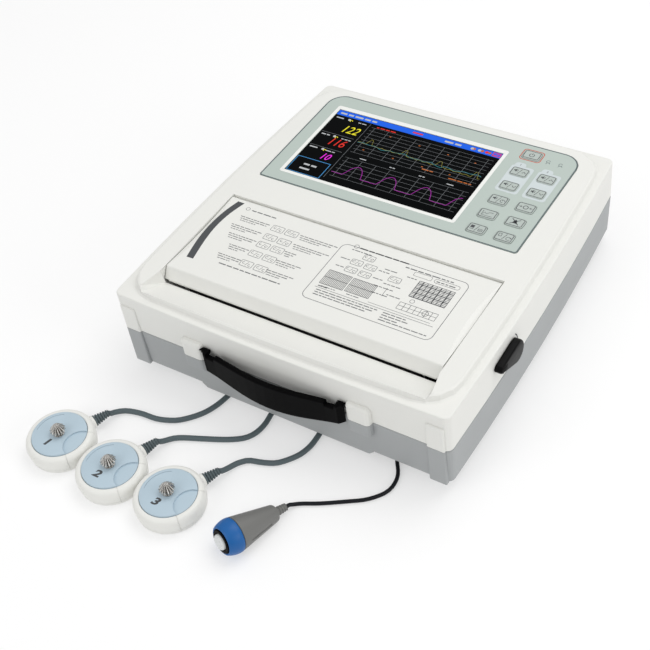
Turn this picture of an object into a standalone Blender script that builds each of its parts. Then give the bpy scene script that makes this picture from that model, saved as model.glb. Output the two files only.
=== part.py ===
"""Cardiotocograph: a desktop fetal monitor with three probes and an event marker.

Run with Blender 4.5: blender --background --python part.py
Metres, +Z up, +Y to the rear. The unit is modelled with X = 0 on its centre line,
Y = 0 at its front edge and Z = 0 on the floor, under one empty that centres the whole.
"""

import math

import bmesh
import bpy
from mathutils import Matrix, Vector

MM = 0.001

# Shared clearances
GAP = 0.3 * MM              # between pieces that touch or seat
CUT = 5 * MM                # overrun of a cutter past the face that it opens
ROUND_STEPS = 4             # segments in a quarter of a rounded corner
FINE, MIDDLE, COARSE = 28, 16, 10   # segments round large, middling and small turned pieces
ROUTE_FINE = 24             # points between two route points before they are evened out

# Screen picture, which sets the scale, and what follows it along X
SCREEN_WIDTH, SCREEN_DEPTH = 154 * MM, 87.7 * MM
PANEL_LEFT_MARGIN, PANEL_RIGHT_MARGIN = 15.6 * MM, 60.9 * MM
PANEL_FRONT_MARGIN, PANEL_REAR_MARGIN = 14.5 * MM, 19 * MM
PANEL_OFFSET = 0.25 * MM    # the panel's middle is this far left of the unit's
PANEL_SIDE = 28.9 * MM      # deck beside the panel
PANEL_HALF = (PANEL_LEFT_MARGIN + SCREEN_WIDTH + PANEL_RIGHT_MARGIN) / 2
PANEL_LEFT, PANEL_RIGHT = -PANEL_HALF - PANEL_OFFSET, PANEL_HALF - PANEL_OFFSET
SCREEN_LEFT, SCREEN_RIGHT = PANEL_LEFT + PANEL_LEFT_MARGIN, PANEL_RIGHT - PANEL_RIGHT_MARGIN

# Body outline
BODY_HALF = PANEL_RIGHT + PANEL_SIDE   # half width where the sides are widest
BODY_DEPTH = 296 * MM       # the panel, the door's hinge and the boards follow the rear edge
WIDEST_Y = 58 * MM
SIDE_RADIUS = 2854 * MM     # the sides' curve in plan
FRONT_BULGE = 2 * MM        # bow of the front edge at the rim
BODY_CORNER = 5 * MM
DECK_CORNER = 26 * MM
DECK_Z = 86.5 * MM          # the tray, the latch and the handle follow the deck
RIM_DROP = 5.2 * MM         # rim below the deck
STRIP = 4.3 * MM            # flat rim strip round the deck
STEP_RUN = 3.3 * MM         # plan width of the step from strip to deck
RIM_ROUND = 1 * MM
SEAM_DROP = 39.7 * MM
SEAM_Z = DECK_Z - SEAM_DROP
SEAM_CHAMFER = 0.6 * MM
BOTTOM_Z = 10.5 * MM
BOTTOM_ROUND = 2 * MM
BOTTOM_INSET = 1.1 * MM
WALL = 2.7 * MM
DECK_WALL = 2.8 * MM
FLOOR_WALL = 2.5 * MM
DECK_SHOULDER = 7 * MM      # inner wall's inset under the step
SPLIT_SHARE = 0.75          # of the wall that an outer block reaches into
SPLIT_REACH = WALL * SPLIT_SHARE
RIM_Z = DECK_Z - RIM_DROP
FRONT_STEPS, SIDE_STEPS, CORNER_STEPS = 8, 6, 4   # points along the body's outline
STEP_SHARES = ((0, 0), (0.35, 0.15), (0.65, 0.85), (1, 1))    # rise of the deck's step
STRIP_FLOOR = WALL          # wall left under the rim strip
CEILING_Z = DECK_Z - DECK_WALL
INNER_FLOOR_Z = BOTTOM_Z + FLOOR_WALL

# Front corner blocks, handle lugs and skirt
BLOCK_WIDTH, BLOCK_IN = 14 * MM, 4.4 * MM
BLOCK_OUTER = BODY_HALF - BLOCK_IN
BLOCK_INNER = BLOCK_OUTER - BLOCK_WIDTH
BLOCK_PROUD = 1.5 * MM
BLOCK_DROP = 15.7 * MM
BLOCK_TOP_Z = DECK_Z - BLOCK_DROP
BLOCK_ROUND = 1 * MM
LUG_INNER, LUG_OUTER = 62.5 * MM, 82 * MM
LUG_PROUD = 5 * MM
LUG_FALL, LUG_RISE = 13.8 * MM, 16.2 * MM     # below and above the seam
LUG_LOW_Z, LUG_HIGH_Z = SEAM_Z - LUG_FALL, SEAM_Z + LUG_RISE
LUG_ROUND = 3.5 * MM
SKIRT_LEFT, SKIRT_RIGHT = -76 * MM, 78 * MM
SKIRT_DROP = 3.7 * MM
SKIRT_SLANT = 4 * MM
SKIRT_FRONT = BOTTOM_INSET + 0.2 * MM

# Carrying handle
HANDLE_AXIS_Y, HANDLE_AXIS_RISE = -3.2 * MM, 11.5 * MM
HANDLE_AXIS_Z = SEAM_Z + HANDLE_AXIS_RISE
KNUCKLE_RADIUS = 2.2 * MM
KNUCKLE_LENGTH = 6 * MM
PIN_RADIUS = 0.9 * MM
PIN_BORE = PIN_RADIUS + GAP
PIN_LENGTH = 15 * MM
EAR_END = 62 * MM           # half length of the handle at its back face
EAR_SLANT = 4 * MM          # its ends slant in towards the front face
EAR_BACK, EAR_FRONT = -3.7 * MM, -8.2 * MM
HANDLE_OVER, HANDLE_UNDER = 2.1 * MM, 16.3 * MM     # above and below its axis
HANDLE_TOP_Z, HANDLE_LOW_Z = HANDLE_AXIS_Z + HANDLE_OVER, HANDLE_AXIS_Z - HANDLE_UNDER
HANDLE_BOW = 6 * MM         # forward bow of the strap
HANDLE_DIP = 7.2 * MM       # downward bow of its lower edge
BOW_POWER = 1.7
STRAP_ROUND = 1.2 * MM
NOTCH_INNER, NOTCH_OUTER = 48 * MM, 56 * MM
NOTCH_DEPTH = 3 * MM
BUFFER_HALF = 3 * MM        # stop pads behind the handle's ends

# Places along Y that follow the rear edge
PANEL_SET_BACK = 15.2 * MM
PANEL_REAR = BODY_DEPTH - PANEL_SET_BACK
SCREEN_REAR = PANEL_REAR - PANEL_REAR_MARGIN
SCREEN_FRONT = SCREEN_REAR - SCREEN_DEPTH
PANEL_FRONT = SCREEN_FRONT - PANEL_FRONT_MARGIN
HINGE_SET_BACK = 34.1 * MM  # hinge axis ahead of the panel
HINGE_Y = PANEL_FRONT - HINGE_SET_BACK

# Printer tray, door and paper path
DOOR_SIDE = 24.3 * MM       # deck beside the door
DOOR_HALF = BODY_HALF - DOOR_SIDE
TRAY_GAP = 0.9 * MM
TRAY_WALL = 3 * MM
HINGE_RADIUS = 4 * MM
HINGE_GAP = 0.6 * MM
HINGE_Z = DECK_Z - HINGE_RADIUS
STUB_RADIUS = 1.6 * MM
STUB_LENGTH = 2.9 * MM
RIDGE_Y = 38.4 * MM
RIDGE_CHAMFER = 1.8 * MM
FASCIA_RUN = 5.6 * MM
FASCIA_DROP = 9.5 * MM
DOOR_WALL = 2.3 * MM
SLOT_HEIGHT = 2 * MM
TRAY_DROP = 16.5 * MM
TRAY_FLOOR_Z = DECK_Z - TRAY_DROP
TRAY_FRONT_Y = 31 * MM
TRAY_FLOOR_WALL = 2.4 * MM
TROUGH_INSET, WELL_INSET = 1.6 * MM, 16.6 * MM     # from the door's side
TROUGH_HALF = DOOR_HALF - TROUGH_INSET
TROUGH_REAR_Y = 50 * MM
TROUGH_DROP, WELL_DROP = 32.5 * MM, 36.5 * MM       # floors below the deck
TROUGH_FLOOR_Z = DECK_Z - TROUGH_DROP
WELL_HALF = DOOR_HALF - WELL_INSET
WELL_FRONT_Y, WELL_UNDER_HINGE = 52.5 * MM, 3 * MM
WELL_REAR_Y = HINGE_Y + WELL_UNDER_HINGE
WELL_FLOOR_Z = DECK_Z - WELL_DROP
SHELF_CREASE_Y, SHELF_CREASE_DROP = 8 * MM, 2.5 * MM
SHELF_CREASE_Z = DECK_Z - SHELF_CREASE_DROP
SHELF_TOP_Y = 3 * MM
SHELF_TOP_OUT, SHELF_CREASE_OUT, SHELF_LOW_IN = 7.9 * MM, 2.4 * MM, 2.1 * MM   # from the door's side
SHELF_TOP_HALF = DOOR_HALF + SHELF_TOP_OUT
SHELF_CREASE_HALF, SHELF_LOW_HALF = DOOR_HALF + SHELF_CREASE_OUT, DOOR_HALF - SHELF_LOW_IN
FACET_FRONT_GAP, FACET_REAR_OVER = 1.6 * MM, 2.5 * MM   # thumb facets along the door's sides
FACET_FRONT_Y, FACET_REAR_Y = RIDGE_Y + FACET_FRONT_GAP, HINGE_Y + FACET_REAR_OVER
FACET_CHORD = FACET_REAR_Y - FACET_FRONT_Y
FACET_SAGITTA = 5 * MM
FACET_DEPTH = 1.5 * MM
FACET_CENTRE_Y = (FACET_FRONT_Y + FACET_REAR_Y) / 2
FACET_STEPS = 14

# Print mechanism
ROLLER_RADIUS = 4.2 * MM
ROLLER_Y, ROLLER_DROP = 40.5 * MM, 16 * MM
ROLLER_Z = DECK_Z - ROLLER_DROP
ROLLER_END, HEAD_END = 3 * MM, 1 * MM      # ends inside the well's sides
ROLLER_HALF = WELL_HALF - ROLLER_END
SHAFT_RADIUS = 1.5 * MM
BRACKET_X = WELL_HALF
BRACKET_THICK = 2 * MM
BRACKET_HALF = 3.6 * MM
GEAR_MODULE = 0.6 * MM
GEAR_TEETH, PINION_TEETH = 24, 12
GEAR_OUT, GEAR_WIDTH = 4 * MM, 4 * MM
GEAR_X = BRACKET_X + GEAR_OUT
GEAR_BACKLASH = 0.22 * MM
GEAR_CENTRE_SLACK = 0.1 * MM
PRESSURE_ANGLE = math.radians(20)
HEAD_HALF = WELL_HALF - HEAD_END
HEAD_THICK = 2.2 * MM
HEAD_FRONT_Y, HEAD_REAR_Y = 33 * MM, 47.5 * MM
SPRING_RADIUS, SPRING_WIRE = 2.6 * MM, 0.7 * MM
SPRING_CLOSE_SHARE = 1.5    # rise of an end turn in wires
SPRING_SIDES = 5
SPRING_TURNS = 4
SPRING_TURN_POINTS = 8
MOTOR_RADIUS, MOTOR_LENGTH = 7.3 * MM, 15 * MM
MOTOR_BORE = 5 * MM
MOTOR_SHAFT = 1 * MM
PAPER_MARGIN = 2 * MM
PAPER_HEIGHT = 18 * MM
PAPER_FOLD_DEPTH = 0.6 * MM
PAPER_FOLDS = 6

# Latch: the lever outside, its shaft through the wall, and the hook beside the paper well
LATCH_BEHIND, LATCH_DROP = 10.05 * MM, 24.5 * MM      # behind the door's middle, below the deck
LATCH_Y, LATCH_Z = (RIDGE_Y + HINGE_Y) / 2 + LATCH_BEHIND, DECK_Z - LATCH_DROP
LATCH_SHAFT = 2.4 * MM
LATCH_PROUD, LATCH_STAND = 6.3 * MM, 0.2 * MM         # face and root outside the side wall
LATCH_FACE, LATCH_ROOT = BODY_HALF + LATCH_PROUD, BODY_HALF + LATCH_STAND
LATCH_HUB = 9.3 * MM
LATCH_REACH, LATCH_LIFT = 23.5 * MM, 4.5 * MM
LATCH_TIP_Y, LATCH_TIP_Z = LATCH_Y - LATCH_REACH, LATCH_Z + LATCH_LIFT
LATCH_TIP_ROUND = 3.4 * MM
LATCH_GRIP_RIB = 0.8 * MM
LATCH_INNER_IN, HOOK_IN = 9.1 * MM, 8.3 * MM          # from the door's side
LATCH_INNER = DOOR_HALF - LATCH_INNER_IN
HOOK_X, HOOK_THICK = DOOR_HALF - HOOK_IN, 3 * MM
HOOK_HUB = 4.6 * MM
HOOK_ARM = 4.5 * MM
HOOK_REACH, HOOK_DROP = 1 * MM, 11.5 * MM
HOOK_REACH_Y, HOOK_REACH_Z = LATCH_Y + HOOK_REACH, DECK_Z - HOOK_DROP
STUD_BEHIND, STUD_DROP, STUD_RADIUS = 6.3 * MM, 5.3 * MM, 1.6 * MM
STUD_Y, STUD_Z = LATCH_Y + STUD_BEHIND, DECK_Z - STUD_DROP
STUD_LENGTH = 7.6 * MM
HOOK_SLOT_BEHIND, HOOK_SLOT_AHEAD = 5 * MM, 15 * MM
HOOK_SLOT_REAR, HOOK_SLOT_FRONT = LATCH_Y + HOOK_SLOT_BEHIND, LATCH_Y - HOOK_SLOT_AHEAD
LATCH_BOSS_IN, LATCH_BOSS_WIDTH, LATCH_BOSS_HALF = 2.6 * MM, 3.2 * MM, 4.4 * MM
LATCH_BOSS_X = DOOR_HALF - LATCH_BOSS_IN

# Control panel, screen and keys
PANEL_ROUND, PANEL_FRONT_ROUND = 15 * MM, 2.5 * MM
PANEL_THICK = 1.9 * MM
PANEL_PROUD = 0.3 * MM
PANEL_GAP = 0.4 * MM
PANEL_LEDGE = 4 * MM
PANEL_FRAME = 2.6 * MM
SCREEN_SINK = 0.3 * MM
SCREEN_THICK = 1.6 * MM
DISPLAY_MARGIN = 4 * MM
DISPLAY_THICK = 6.5 * MM
KEY_COLUMN_PLACES = (22.1 * MM, 45.2 * MM)            # right of the picture
KEY_COLUMNS = tuple(SCREEN_RIGHT + column for column in KEY_COLUMN_PLACES)
KEY_FIRST_BACK, KEY_LAST_FRONT = 35.3 * MM, 12.4 * MM     # outer rows from the panel's edges
KEY_FIRST_Y, KEY_LAST_Y = PANEL_REAR - KEY_FIRST_BACK, PANEL_FRONT + KEY_LAST_FRONT
KEY_ROW_SHARES = (0, 184, 369, 550, 735)     # parts of the way from the first row to the last
KEY_ROWS = tuple(KEY_FIRST_Y + (KEY_LAST_Y - KEY_FIRST_Y) * share / KEY_ROW_SHARES[-1]
                 for share in KEY_ROW_SHARES)
POWER_AHEAD = 12.4 * MM
POWER_X, POWER_Y = KEY_COLUMNS[0], PANEL_REAR - POWER_AHEAD
KEY_WIDTH, KEY_DEPTH = 14.9 * MM, 10.5 * MM
KEY_ROUND = 2.2 * MM
KEY_PROUD = 0.8 * MM
KEY_FLANGE = 1 * MM
KEY_FLANGE_THICK = 1.2 * MM
KEY_CROWN = 0.5 * MM
KEY_TRAVEL = 0.6 * MM
KEY_PLUNGER = 2 * MM
BOARD_THICK = 1.6 * MM
BOARD_BESIDE, BOARD_EDGE = 7.9 * MM, 5 * MM
BOARD_LEFT, BOARD_RIGHT = SCREEN_RIGHT + BOARD_BESIDE, PANEL_RIGHT - BOARD_EDGE
BOARD_FRONT, BOARD_REAR = PANEL_FRONT + BOARD_EDGE, PANEL_REAR - BOARD_EDGE

# Boards, power and sound inside
MAIN_SIDE, MAIN_WIDTH = 30.9 * MM, 163 * MM
MAIN_LEFT = MAIN_SIDE - BODY_HALF
MAIN_RIGHT = MAIN_LEFT + MAIN_WIDTH
MAIN_AHEAD, MAIN_DEPTH = 12 * MM, 142 * MM            # ahead of the body's rear edge
MAIN_REAR = BODY_DEPTH - MAIN_AHEAD
MAIN_FRONT = MAIN_REAR - MAIN_DEPTH
MAIN_Z = 40 * MM
MAIN_BOSS = 3.2 * MM
MAIN_BOSS_INSET = 6 * MM
CHIP_HEIGHT = 2.4 * MM
# Places and sizes of parts on the boards, as shares of the board
CHIP_SHARES = ((0.2, 0.3, 0.12, 0.1), (0.45, 0.6, 0.16, 0.16), (0.72, 0.28, 0.1, 0.14),
               (0.78, 0.74, 0.08, 0.1), (0.16, 0.74, 0.1, 0.08))
POWER_BLOCK_SHARES = ((0.26, 0.3, 0.2, 0.24, 0.95), (0.72, 0.25, 0.16, 0.14, 0.6),
                      (0.3, 0.75, 0.14, 0.12, 0.7), (0.72, 0.7, 0.18, 0.2, 0.45))
POWER_SIDE, POWER_WIDTH = 19.9 * MM, 62 * MM
POWER_RIGHT = BODY_HALF - POWER_SIDE
POWER_LEFT = POWER_RIGHT - POWER_WIDTH
CELLS_AHEAD, POWER_DEPTH, BATTERY_DEPTH = 34 * MM, 86 * MM, 84 * MM
POWER_REAR = BODY_DEPTH - CELLS_AHEAD
POWER_FRONT = POWER_REAR - POWER_DEPTH
POWER_HEIGHT = 30 * MM
BATTERY_SIDE, BATTERY_WIDTH = 31.9 * MM, 90 * MM
BATTERY_LEFT = BATTERY_SIDE - BODY_HALF
BATTERY_RIGHT = BATTERY_LEFT + BATTERY_WIDTH
BATTERY_REAR = BODY_DEPTH - CELLS_AHEAD
BATTERY_FRONT = BATTERY_REAR - BATTERY_DEPTH
BATTERY_HEIGHT = 20 * MM
BATTERY_ROUND = 5 * MM
COVER_PLATE = 1.4 * MM
COVER_LEDGE = 3 * MM
SPEAKER_SIDE, SPEAKER_AHEAD = 43.9 * MM, 24 * MM
SPEAKER_RADIUS, SPEAKER_HEIGHT = 24 * MM, 13 * MM
SPEAKER_X, SPEAKER_Y = SPEAKER_SIDE - BODY_HALF, MAIN_FRONT - SPEAKER_AHEAD
SPEAKER_SLOTS = 7
SPEAKER_SLOT, SPEAKER_PITCH = 2 * MM, 5.5 * MM
SPEAKER_SLOT_HALF = 14 * MM
INLET_SIDE, INLET_Z = 51.9 * MM, 29 * MM
INLET_X = BODY_HALF - INLET_SIDE
INLET_HALF_WIDTH, INLET_HALF_HEIGHT = 13.5 * MM, 9.5 * MM
INLET_DEPTH, INLET_FLANGE, INLET_FLANGE_THICK = 22 * MM, 2.5 * MM, 1.6 * MM
INLET_WALL, INLET_CUP = 2 * MM, 15 * MM
INLET_BLADE, INLET_BLADE_THICK, INLET_BLADE_PITCH = 2 * MM, 1 * MM, 7 * MM

# Feet, screws and their bosses
FOOT_SIDE, FOOT_FRONT_Y, FOOT_AHEAD = 29.9 * MM, 28 * MM, 24 * MM
FOOT_X = BODY_HALF - FOOT_SIDE
FOOT_REAR_Y = BODY_DEPTH - FOOT_AHEAD
FOOT_RADIUS, FOOT_TAPER = 8 * MM, 1 * MM
FOOT_SPIGOT, FOOT_SPIGOT_HEIGHT = 3 * MM, 2 * MM
BOSS_FRONT_SIDE, BOSS_REAR_SIDE = 14.9 * MM, 23.9 * MM
BOSS_FRONT_X, BOSS_FRONT_Y = BODY_HALF - BOSS_FRONT_SIDE, 17 * MM
BOSS_REAR_X, BOSS_AHEAD = BODY_HALF - BOSS_REAR_SIDE, 12 * MM
BOSS_REAR_Y = BODY_DEPTH - BOSS_AHEAD
BOSS_RADIUS = 5 * MM
SCREW_RADIUS, SCREW_HEAD = 1.5 * MM, 2.8 * MM
SCREW_SEAT_DROP, SCREW_LENGTH = 10.8 * MM, 19 * MM
SCREW_SEAT_Z = SEAM_Z - SCREW_SEAT_DROP

# Connector bay under the front edge
BAY_LEFT, BAY_RIGHT = -75 * MM, 102 * MM
BAY_FRONT, BAY_REAR = 4 * MM, 62 * MM
BAY_TOP_Z = 36 * MM
BAY_WALL = 2.4 * MM
BAY_ROUND = 4 * MM
SOCKET_Z = 23.5 * MM
PROBE_SOCKETS_X = (-54.2 * MM, -14 * MM, 28.6 * MM)
MARKER_SOCKET_X = 88 * MM
SOCKET_RADIUS, SOCKET_FLANGE, SOCKET_PROUD = 7.5 * MM, 9.5 * MM, 1.5 * MM
SOCKET_BACK = 5 * MM
SOCKET_BORE, SOCKET_BORE_DEPTH = 5.4 * MM, 7 * MM
PLUG_RADIUS, PLUG_LENGTH, PLUG_NOSE = 6.6 * MM, 13 * MM, 6 * MM
PLUG_NECK, PLUG_NECK_LENGTH = 3.4 * MM, 7 * MM
PLUG_RIBS = 3
PLUG_RIB_DEPTH = 0.4 * MM
MARKER_SHARE = 0.72         # the marker's connector is this share of a probe's

# Probes: places on the floor, and the point that each cord leaves towards
PROBES = ((-141.6 * MM, -93.3 * MM), (-87.3 * MM, -99.3 * MM), (-32.7 * MM, -99.5 * MM))
PROBE_AIMS = ((-128.5 * MM, -61 * MM), (-76 * MM, -65.4 * MM), (-17.4 * MM, -66.4 * MM))
PROBE_RADIUS = 27 * MM
PROBE_HEIGHT = 15.2 * MM
PLATE_RADIUS, PLATE_TOP_Z, PLATE_SEAT_Z = 21.3 * MM, 16.2 * MM, 13.2 * MM
PLATE_ROUND = 0.5 * MM
PLATE_STEP, PLATE_STEP_X, PLATE_STEP_Y, PLATE_STEP_RADIUS = 0.9 * MM, 21 * MM, -1 * MM, 12.6 * MM
# Side of a probe: radius and height as shares of its own
PROBE_PROFILE_SHARES = ((0.90, 0.0), (0.955, 0.06), (0.975, 0.255), (0.963, 0.28), (0.979, 0.305),
                        (1.0, 0.6), (0.985, 0.8), (0.945, 0.93), (0.89, 1.0))
SOLE_RADIUS, SOLE_SINK = 20.4 * MM, 0.5 * MM
KNOB_SEAT, KNOB_WIDE, KNOB_TIP = 4.4 * MM, 6.1 * MM, 1.9 * MM
KNOB_WIDE_Z, KNOB_TIP_Z = 21 * MM, 26.2 * MM
KNOB_FLUTES, KNOB_FLUTE_DEPTH = 12, 0.6 * MM
KNOB_STEM = 2 * MM
BOOT_Z = 8 * MM
BOOT_START, BOOT_LENGTH = 28.5 * MM, 7.6 * MM
BOOT_WIDE, BOOT_SLIM = 4.6 * MM, 3.1 * MM
BOOT_RIBS, BOOT_RIB_DEPTH = 4, 0.4 * MM
RIB_SHARES = ((0.1, 0), (0.45, 0), (0.75, 1))
NECK_RADIUS = 5.2 * MM

# Event marker: centre of its collar and the end of its boot
MARKER_FROM = Vector((28.4 * MM, -109 * MM, 13.5 * MM))
MARKER_TO = Vector((44.1 * MM, -65.2 * MM, 4.4 * MM))
COLLAR_RADIUS, COLLAR_FRONT_RADIUS = 13.2 * MM, 10.6 * MM
COLLAR_FRONT, COLLAR_REAR = 7.5 * MM, 4 * MM
COLLAR_MOUTH, COLLAR_FLOOR = 9.4 * MM, 5 * MM
GRIP_FRONT_RADIUS, GRIP_REAR_RADIUS, GRIP_LENGTH = 12.7 * MM, 5.9 * MM, 34.5 * MM
GRIP_SHOULDER = 1.8 * MM
GROOVE_HALF, GROOVE_DEPTH = 0.8 * MM, 0.7 * MM
GROOVE_START, GROOVE_END = 5 * MM, 27 * MM
BEZEL_RADIUS, BEZEL_BORE, BEZEL_PROUD = 9.1 * MM, 6.3 * MM, 0.8 * MM
BUTTON_RADIUS, BUTTON_PROUD, BUTTON_CROWN = 5.9 * MM, 3 * MM, 0.8 * MM
BUTTON_TRAVEL = 2 * MM
BUTTON_FLANGE, BUTTON_FLANGE_THICK = 7.6 * MM, 1.2 * MM
STUB_FRONT, STUB_TIP = 3.6 * MM, 2.8 * MM

# Cords
CORD_DIAMETER, MARKER_CORD_DIAMETER = 4.3 * MM, 3 * MM
CORD_STEP_SHARE = 2.4       # spacing of a cord's points in diameters
FLOOR_CLEAR = 0.05 * MM
# Each route's free points as chosen by eye, millimetres: X, Y and height of the axis
ROUTE_1 = ((-126.2, -55.2, 6.4), (-125.4, -50.2, 3.6), (-119.6, -44.4, 2.2),
           (-107.0, -41.0, 2.2), (-93.8, -40.1, 2.2), (-84.4, -37.5, 2.2), (-76.1, -33.4, 2.2),
           (-67.7, -25.5, 2.2), (-61.5, -16.7, 2.2), (-57.6, -6.6, 2.2), (-55.6, 3.6, 2.2),
           (-54.6, 12.5, 3.2), (-54.2, 20.0, 9.5), (-54.2, 27.0, 18.5))
ROUTE_2 = ((-74.3, -60.1, 6.4), (-72.6, -55.7, 3.6), (-69.1, -50.2, 2.2), (-62.5, -46.0, 2.2),
           (-47.6, -39.7, 2.2), (-32.0, -32.8, 2.2), (-22.4, -27.1, 2.2), (-17.5, -22.3, 2.2),
           (-14.3, -15.2, 2.2), (-13.4, -5.6, 2.2), (-14.6, 3.4, 2.2), (-14.6, 12.5, 3.2),
           (-14.0, 20.0, 9.5), (-14.0, 27.0, 18.5))
ROUTE_3 = ((-15.2, -61.4, 6.4), (-14.0, -55.6, 3.6), (-11.8, -48.9, 2.2), (-8.6, -44.6, 2.2),
           (-4.1, -41.0, 2.2), (5.8, -38.1, 2.2), (14.9, -34.0, 2.2), (21.8, -26.7, 2.2),
           (26.8, -18.5, 2.2), (29.2, -8.6, 2.2), (29.2, 0.6, 2.2), (28.6, 9.0, 2.6),
           (28.6, 18.5, 8.2), (28.6, 26.5, 18.0))
ROUTE_MARKER = ((45.4, -61.6, 3.1), (50.4, -56.6, 1.6), (63.4, -49.7, 1.6), (79.6, -39.5, 1.6),
                (90.6, -32.0, 1.6), (98.6, -22.8, 1.6), (101.5, -15.1, 1.6),
                (101.0, -6.1, 1.6), (98.0, 0.8, 1.6), (93.4, 7.5, 1.8), (89.6, 15.5, 4.6),
                (88.2, 23.5, 11.5), (88.0, 31.5, 20.0))

# Heights and edges that follow from the sizes above
PANEL_TOP_Z = DECK_Z + PANEL_PROUD
PANEL_LOW_Z = PANEL_TOP_Z - PANEL_THICK
KEY_FLANGE_TOP_Z = PANEL_LOW_Z - GAP
KEY_FLANGE_LOW_Z = KEY_FLANGE_TOP_Z - KEY_FLANGE_THICK
KEY_BOARD_TOP_Z = KEY_FLANGE_LOW_Z - KEY_PLUNGER - KEY_TRAVEL - GAP
TRAY_HALF = DOOR_HALF + TRAY_GAP
TRAY_REAR_Y = HINGE_Y + HINGE_RADIUS + HINGE_GAP
FASCIA_LOW_Y, FASCIA_LOW_Z = RIDGE_Y - FASCIA_RUN, DECK_Z - FASCIA_DROP
DOOR_LOW_Z = HINGE_Z - HINGE_RADIUS
SHELF_LOW_Z = FASCIA_LOW_Z - SLOT_HEIGHT
HEAD_TOP_Z = ROLLER_Z - ROLLER_RADIUS - GAP
PINION_Z = ROLLER_Z - GEAR_MODULE * (GEAR_TEETH + PINION_TEETH) / 2 - GEAR_CENTRE_SLACK
MOTOR_X = TROUGH_HALF + WALL + GAP
SEAM_TOP, SEAM_UNDER = SEAM_Z + GAP / 2, SEAM_Z - GAP / 2


def clear_scene():
    for obj in list(bpy.data.objects):
        bpy.data.objects.remove(obj, do_unlink=True)


def material(name, rgb, roughness, metallic=0.0):
    mat = bpy.data.materials.get(name)
    if mat is None:
        mat = bpy.data.materials.new(name)
        mat.use_nodes = True
        shader = mat.node_tree.nodes["Principled BSDF"]
        shader.inputs["Base Color"].default_value = (*rgb, 1)
        shader.inputs["Roughness"].default_value = roughness
        shader.inputs["Metallic"].default_value = metallic
    return mat


def white():
    return material("white_shell", (0.85, 0.85, 0.82), 0.45)


def pale_grey():
    return material("grey_shell", (0.66, 0.68, 0.66), 0.5)


def black():
    return material("black_plastic", (0.02, 0.02, 0.02), 0.5)


def steel():
    return material("steel", (0.6, 0.59, 0.57), 0.3, 1.0)


def panel_blue():
    return material("panel_blue", (0.48, 0.54, 0.5), 0.4)


def plate_blue():
    return material("plate_blue", (0.45, 0.58, 0.68), 0.4)


def key_rubber():
    return material("key_rubber", (0.48, 0.54, 0.52), 0.6)


def rubber():
    return material("dark_rubber", (0.05, 0.06, 0.065), 0.7)


def cord_grey():
    return material("cord_grey", (0.09, 0.13, 0.14), 0.6)


def marker_blue():
    return material("marker_blue", (0.03, 0.21, 0.55), 0.4)


def marker_grey():
    return material("marker_grey", (0.24, 0.235, 0.225), 0.5)


def board_green():
    return material("board_green", (0.02, 0.18, 0.08), 0.5)


def paper_white():
    return material("paper_white", (0.85, 0.84, 0.8), 0.9)


def screen_black():
    return material("screen_black", (0.01, 0.01, 0.012), 0.15)


def new_object(name, mesh, mat=None, pivot=None, smooth=40):
    """Link a bmesh as an object under the unit's empty, with its origin at the pivot."""
    pivot = Vector((0, 0, 0)) if pivot is None else Vector(pivot)
    bmesh.ops.translate(mesh, verts=mesh.verts, vec=-pivot)
    data = bpy.data.meshes.new(name)
    mesh.to_mesh(data)
    mesh.free()
    if mat:
        data.materials.append(mat)
    data.shade_smooth()
    data.set_sharp_from_angle(angle=math.radians(smooth))
    obj = bpy.data.objects.new(name, data)
    obj.location = pivot
    obj.parent = UNIT
    bpy.context.scene.collection.objects.link(obj)
    return obj


def join(meshes):
    """One bmesh that holds several separate solids."""
    out = bmesh.new()
    for part in meshes:
        data = bpy.data.meshes.new("part")
        part.to_mesh(data)
        part.free()
        out.from_mesh(data)
        bpy.data.meshes.remove(data)
    return out


def boolean(obj, cutter, operation="DIFFERENCE"):
    """Cut an object by a bmesh, or join it on; the tool object is hidden from the build."""
    tool = new_object(obj.name + "_tool", cutter)
    tool.hide_render = True
    tool.display_type = "WIRE"
    mod = obj.modifiers.new(operation.lower(), "BOOLEAN")
    mod.operation = operation
    mod.solver = "EXACT"
    mod.object = tool


def rounded(corners, steps=ROUND_STEPS):
    """Outline through (x, y, radius) corners, each corner turned into an arc."""
    points = []
    count = len(corners)
    for i, (x, y, radius) in enumerate(corners):
        here = Vector((x, y))
        before = Vector(corners[i - 1][:2]) - here
        after = Vector(corners[(i + 1) % count][:2]) - here
        if radius <= 0:
            points.append((x, y))
            continue
        a, b = before.normalized(), after.normalized()
        half = a.angle(b) / 2
        back = radius / math.tan(half)
        centre = here + (a + b).normalized() * (radius / math.sin(half))
        start, end = here + a * back - centre, here + b * back - centre
        turn = math.atan2(start.x * end.y - start.y * end.x, start.dot(end))
        for k in range(steps + 1):
            c, s = math.cos(turn * k / steps), math.sin(turn * k / steps)
            points.append((centre.x + start.x * c - start.y * s, centre.y + start.x * s + start.y * c))
    return points


def rectangle(x0, x1, y0, y1, radius=0.0, steps=ROUND_STEPS):
    return rounded([(x0, y0, radius), (x1, y0, radius), (x1, y1, radius), (x0, y1, radius)], steps)


def loft(rings, closed=False):
    """Skin through rings of equal counts, capped at both ends unless it closes on itself."""
    mesh = bmesh.new()
    rows = [[mesh.verts.new(p) for p in ring] for ring in rings]
    count = len(rows[0])
    pairs = list(zip(rows, rows[1:]))
    if closed:
        pairs.append((rows[-1], rows[0]))
    for low, high in pairs:
        for i in range(count):
            j = (i + 1) % count
            mesh.faces.new((low[i], low[j], high[j], high[i]))
    if not closed:
        mesh.faces.new(rows[0][::-1])
        mesh.faces.new(rows[-1])
    bmesh.ops.recalc_face_normals(mesh, faces=mesh.faces)
    return mesh


def prism(outline, low, high):
    """Outline in X and Y, extruded along Z."""
    return loft([[(x, y, z) for x, y in outline] for z in (low, high)])


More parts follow.
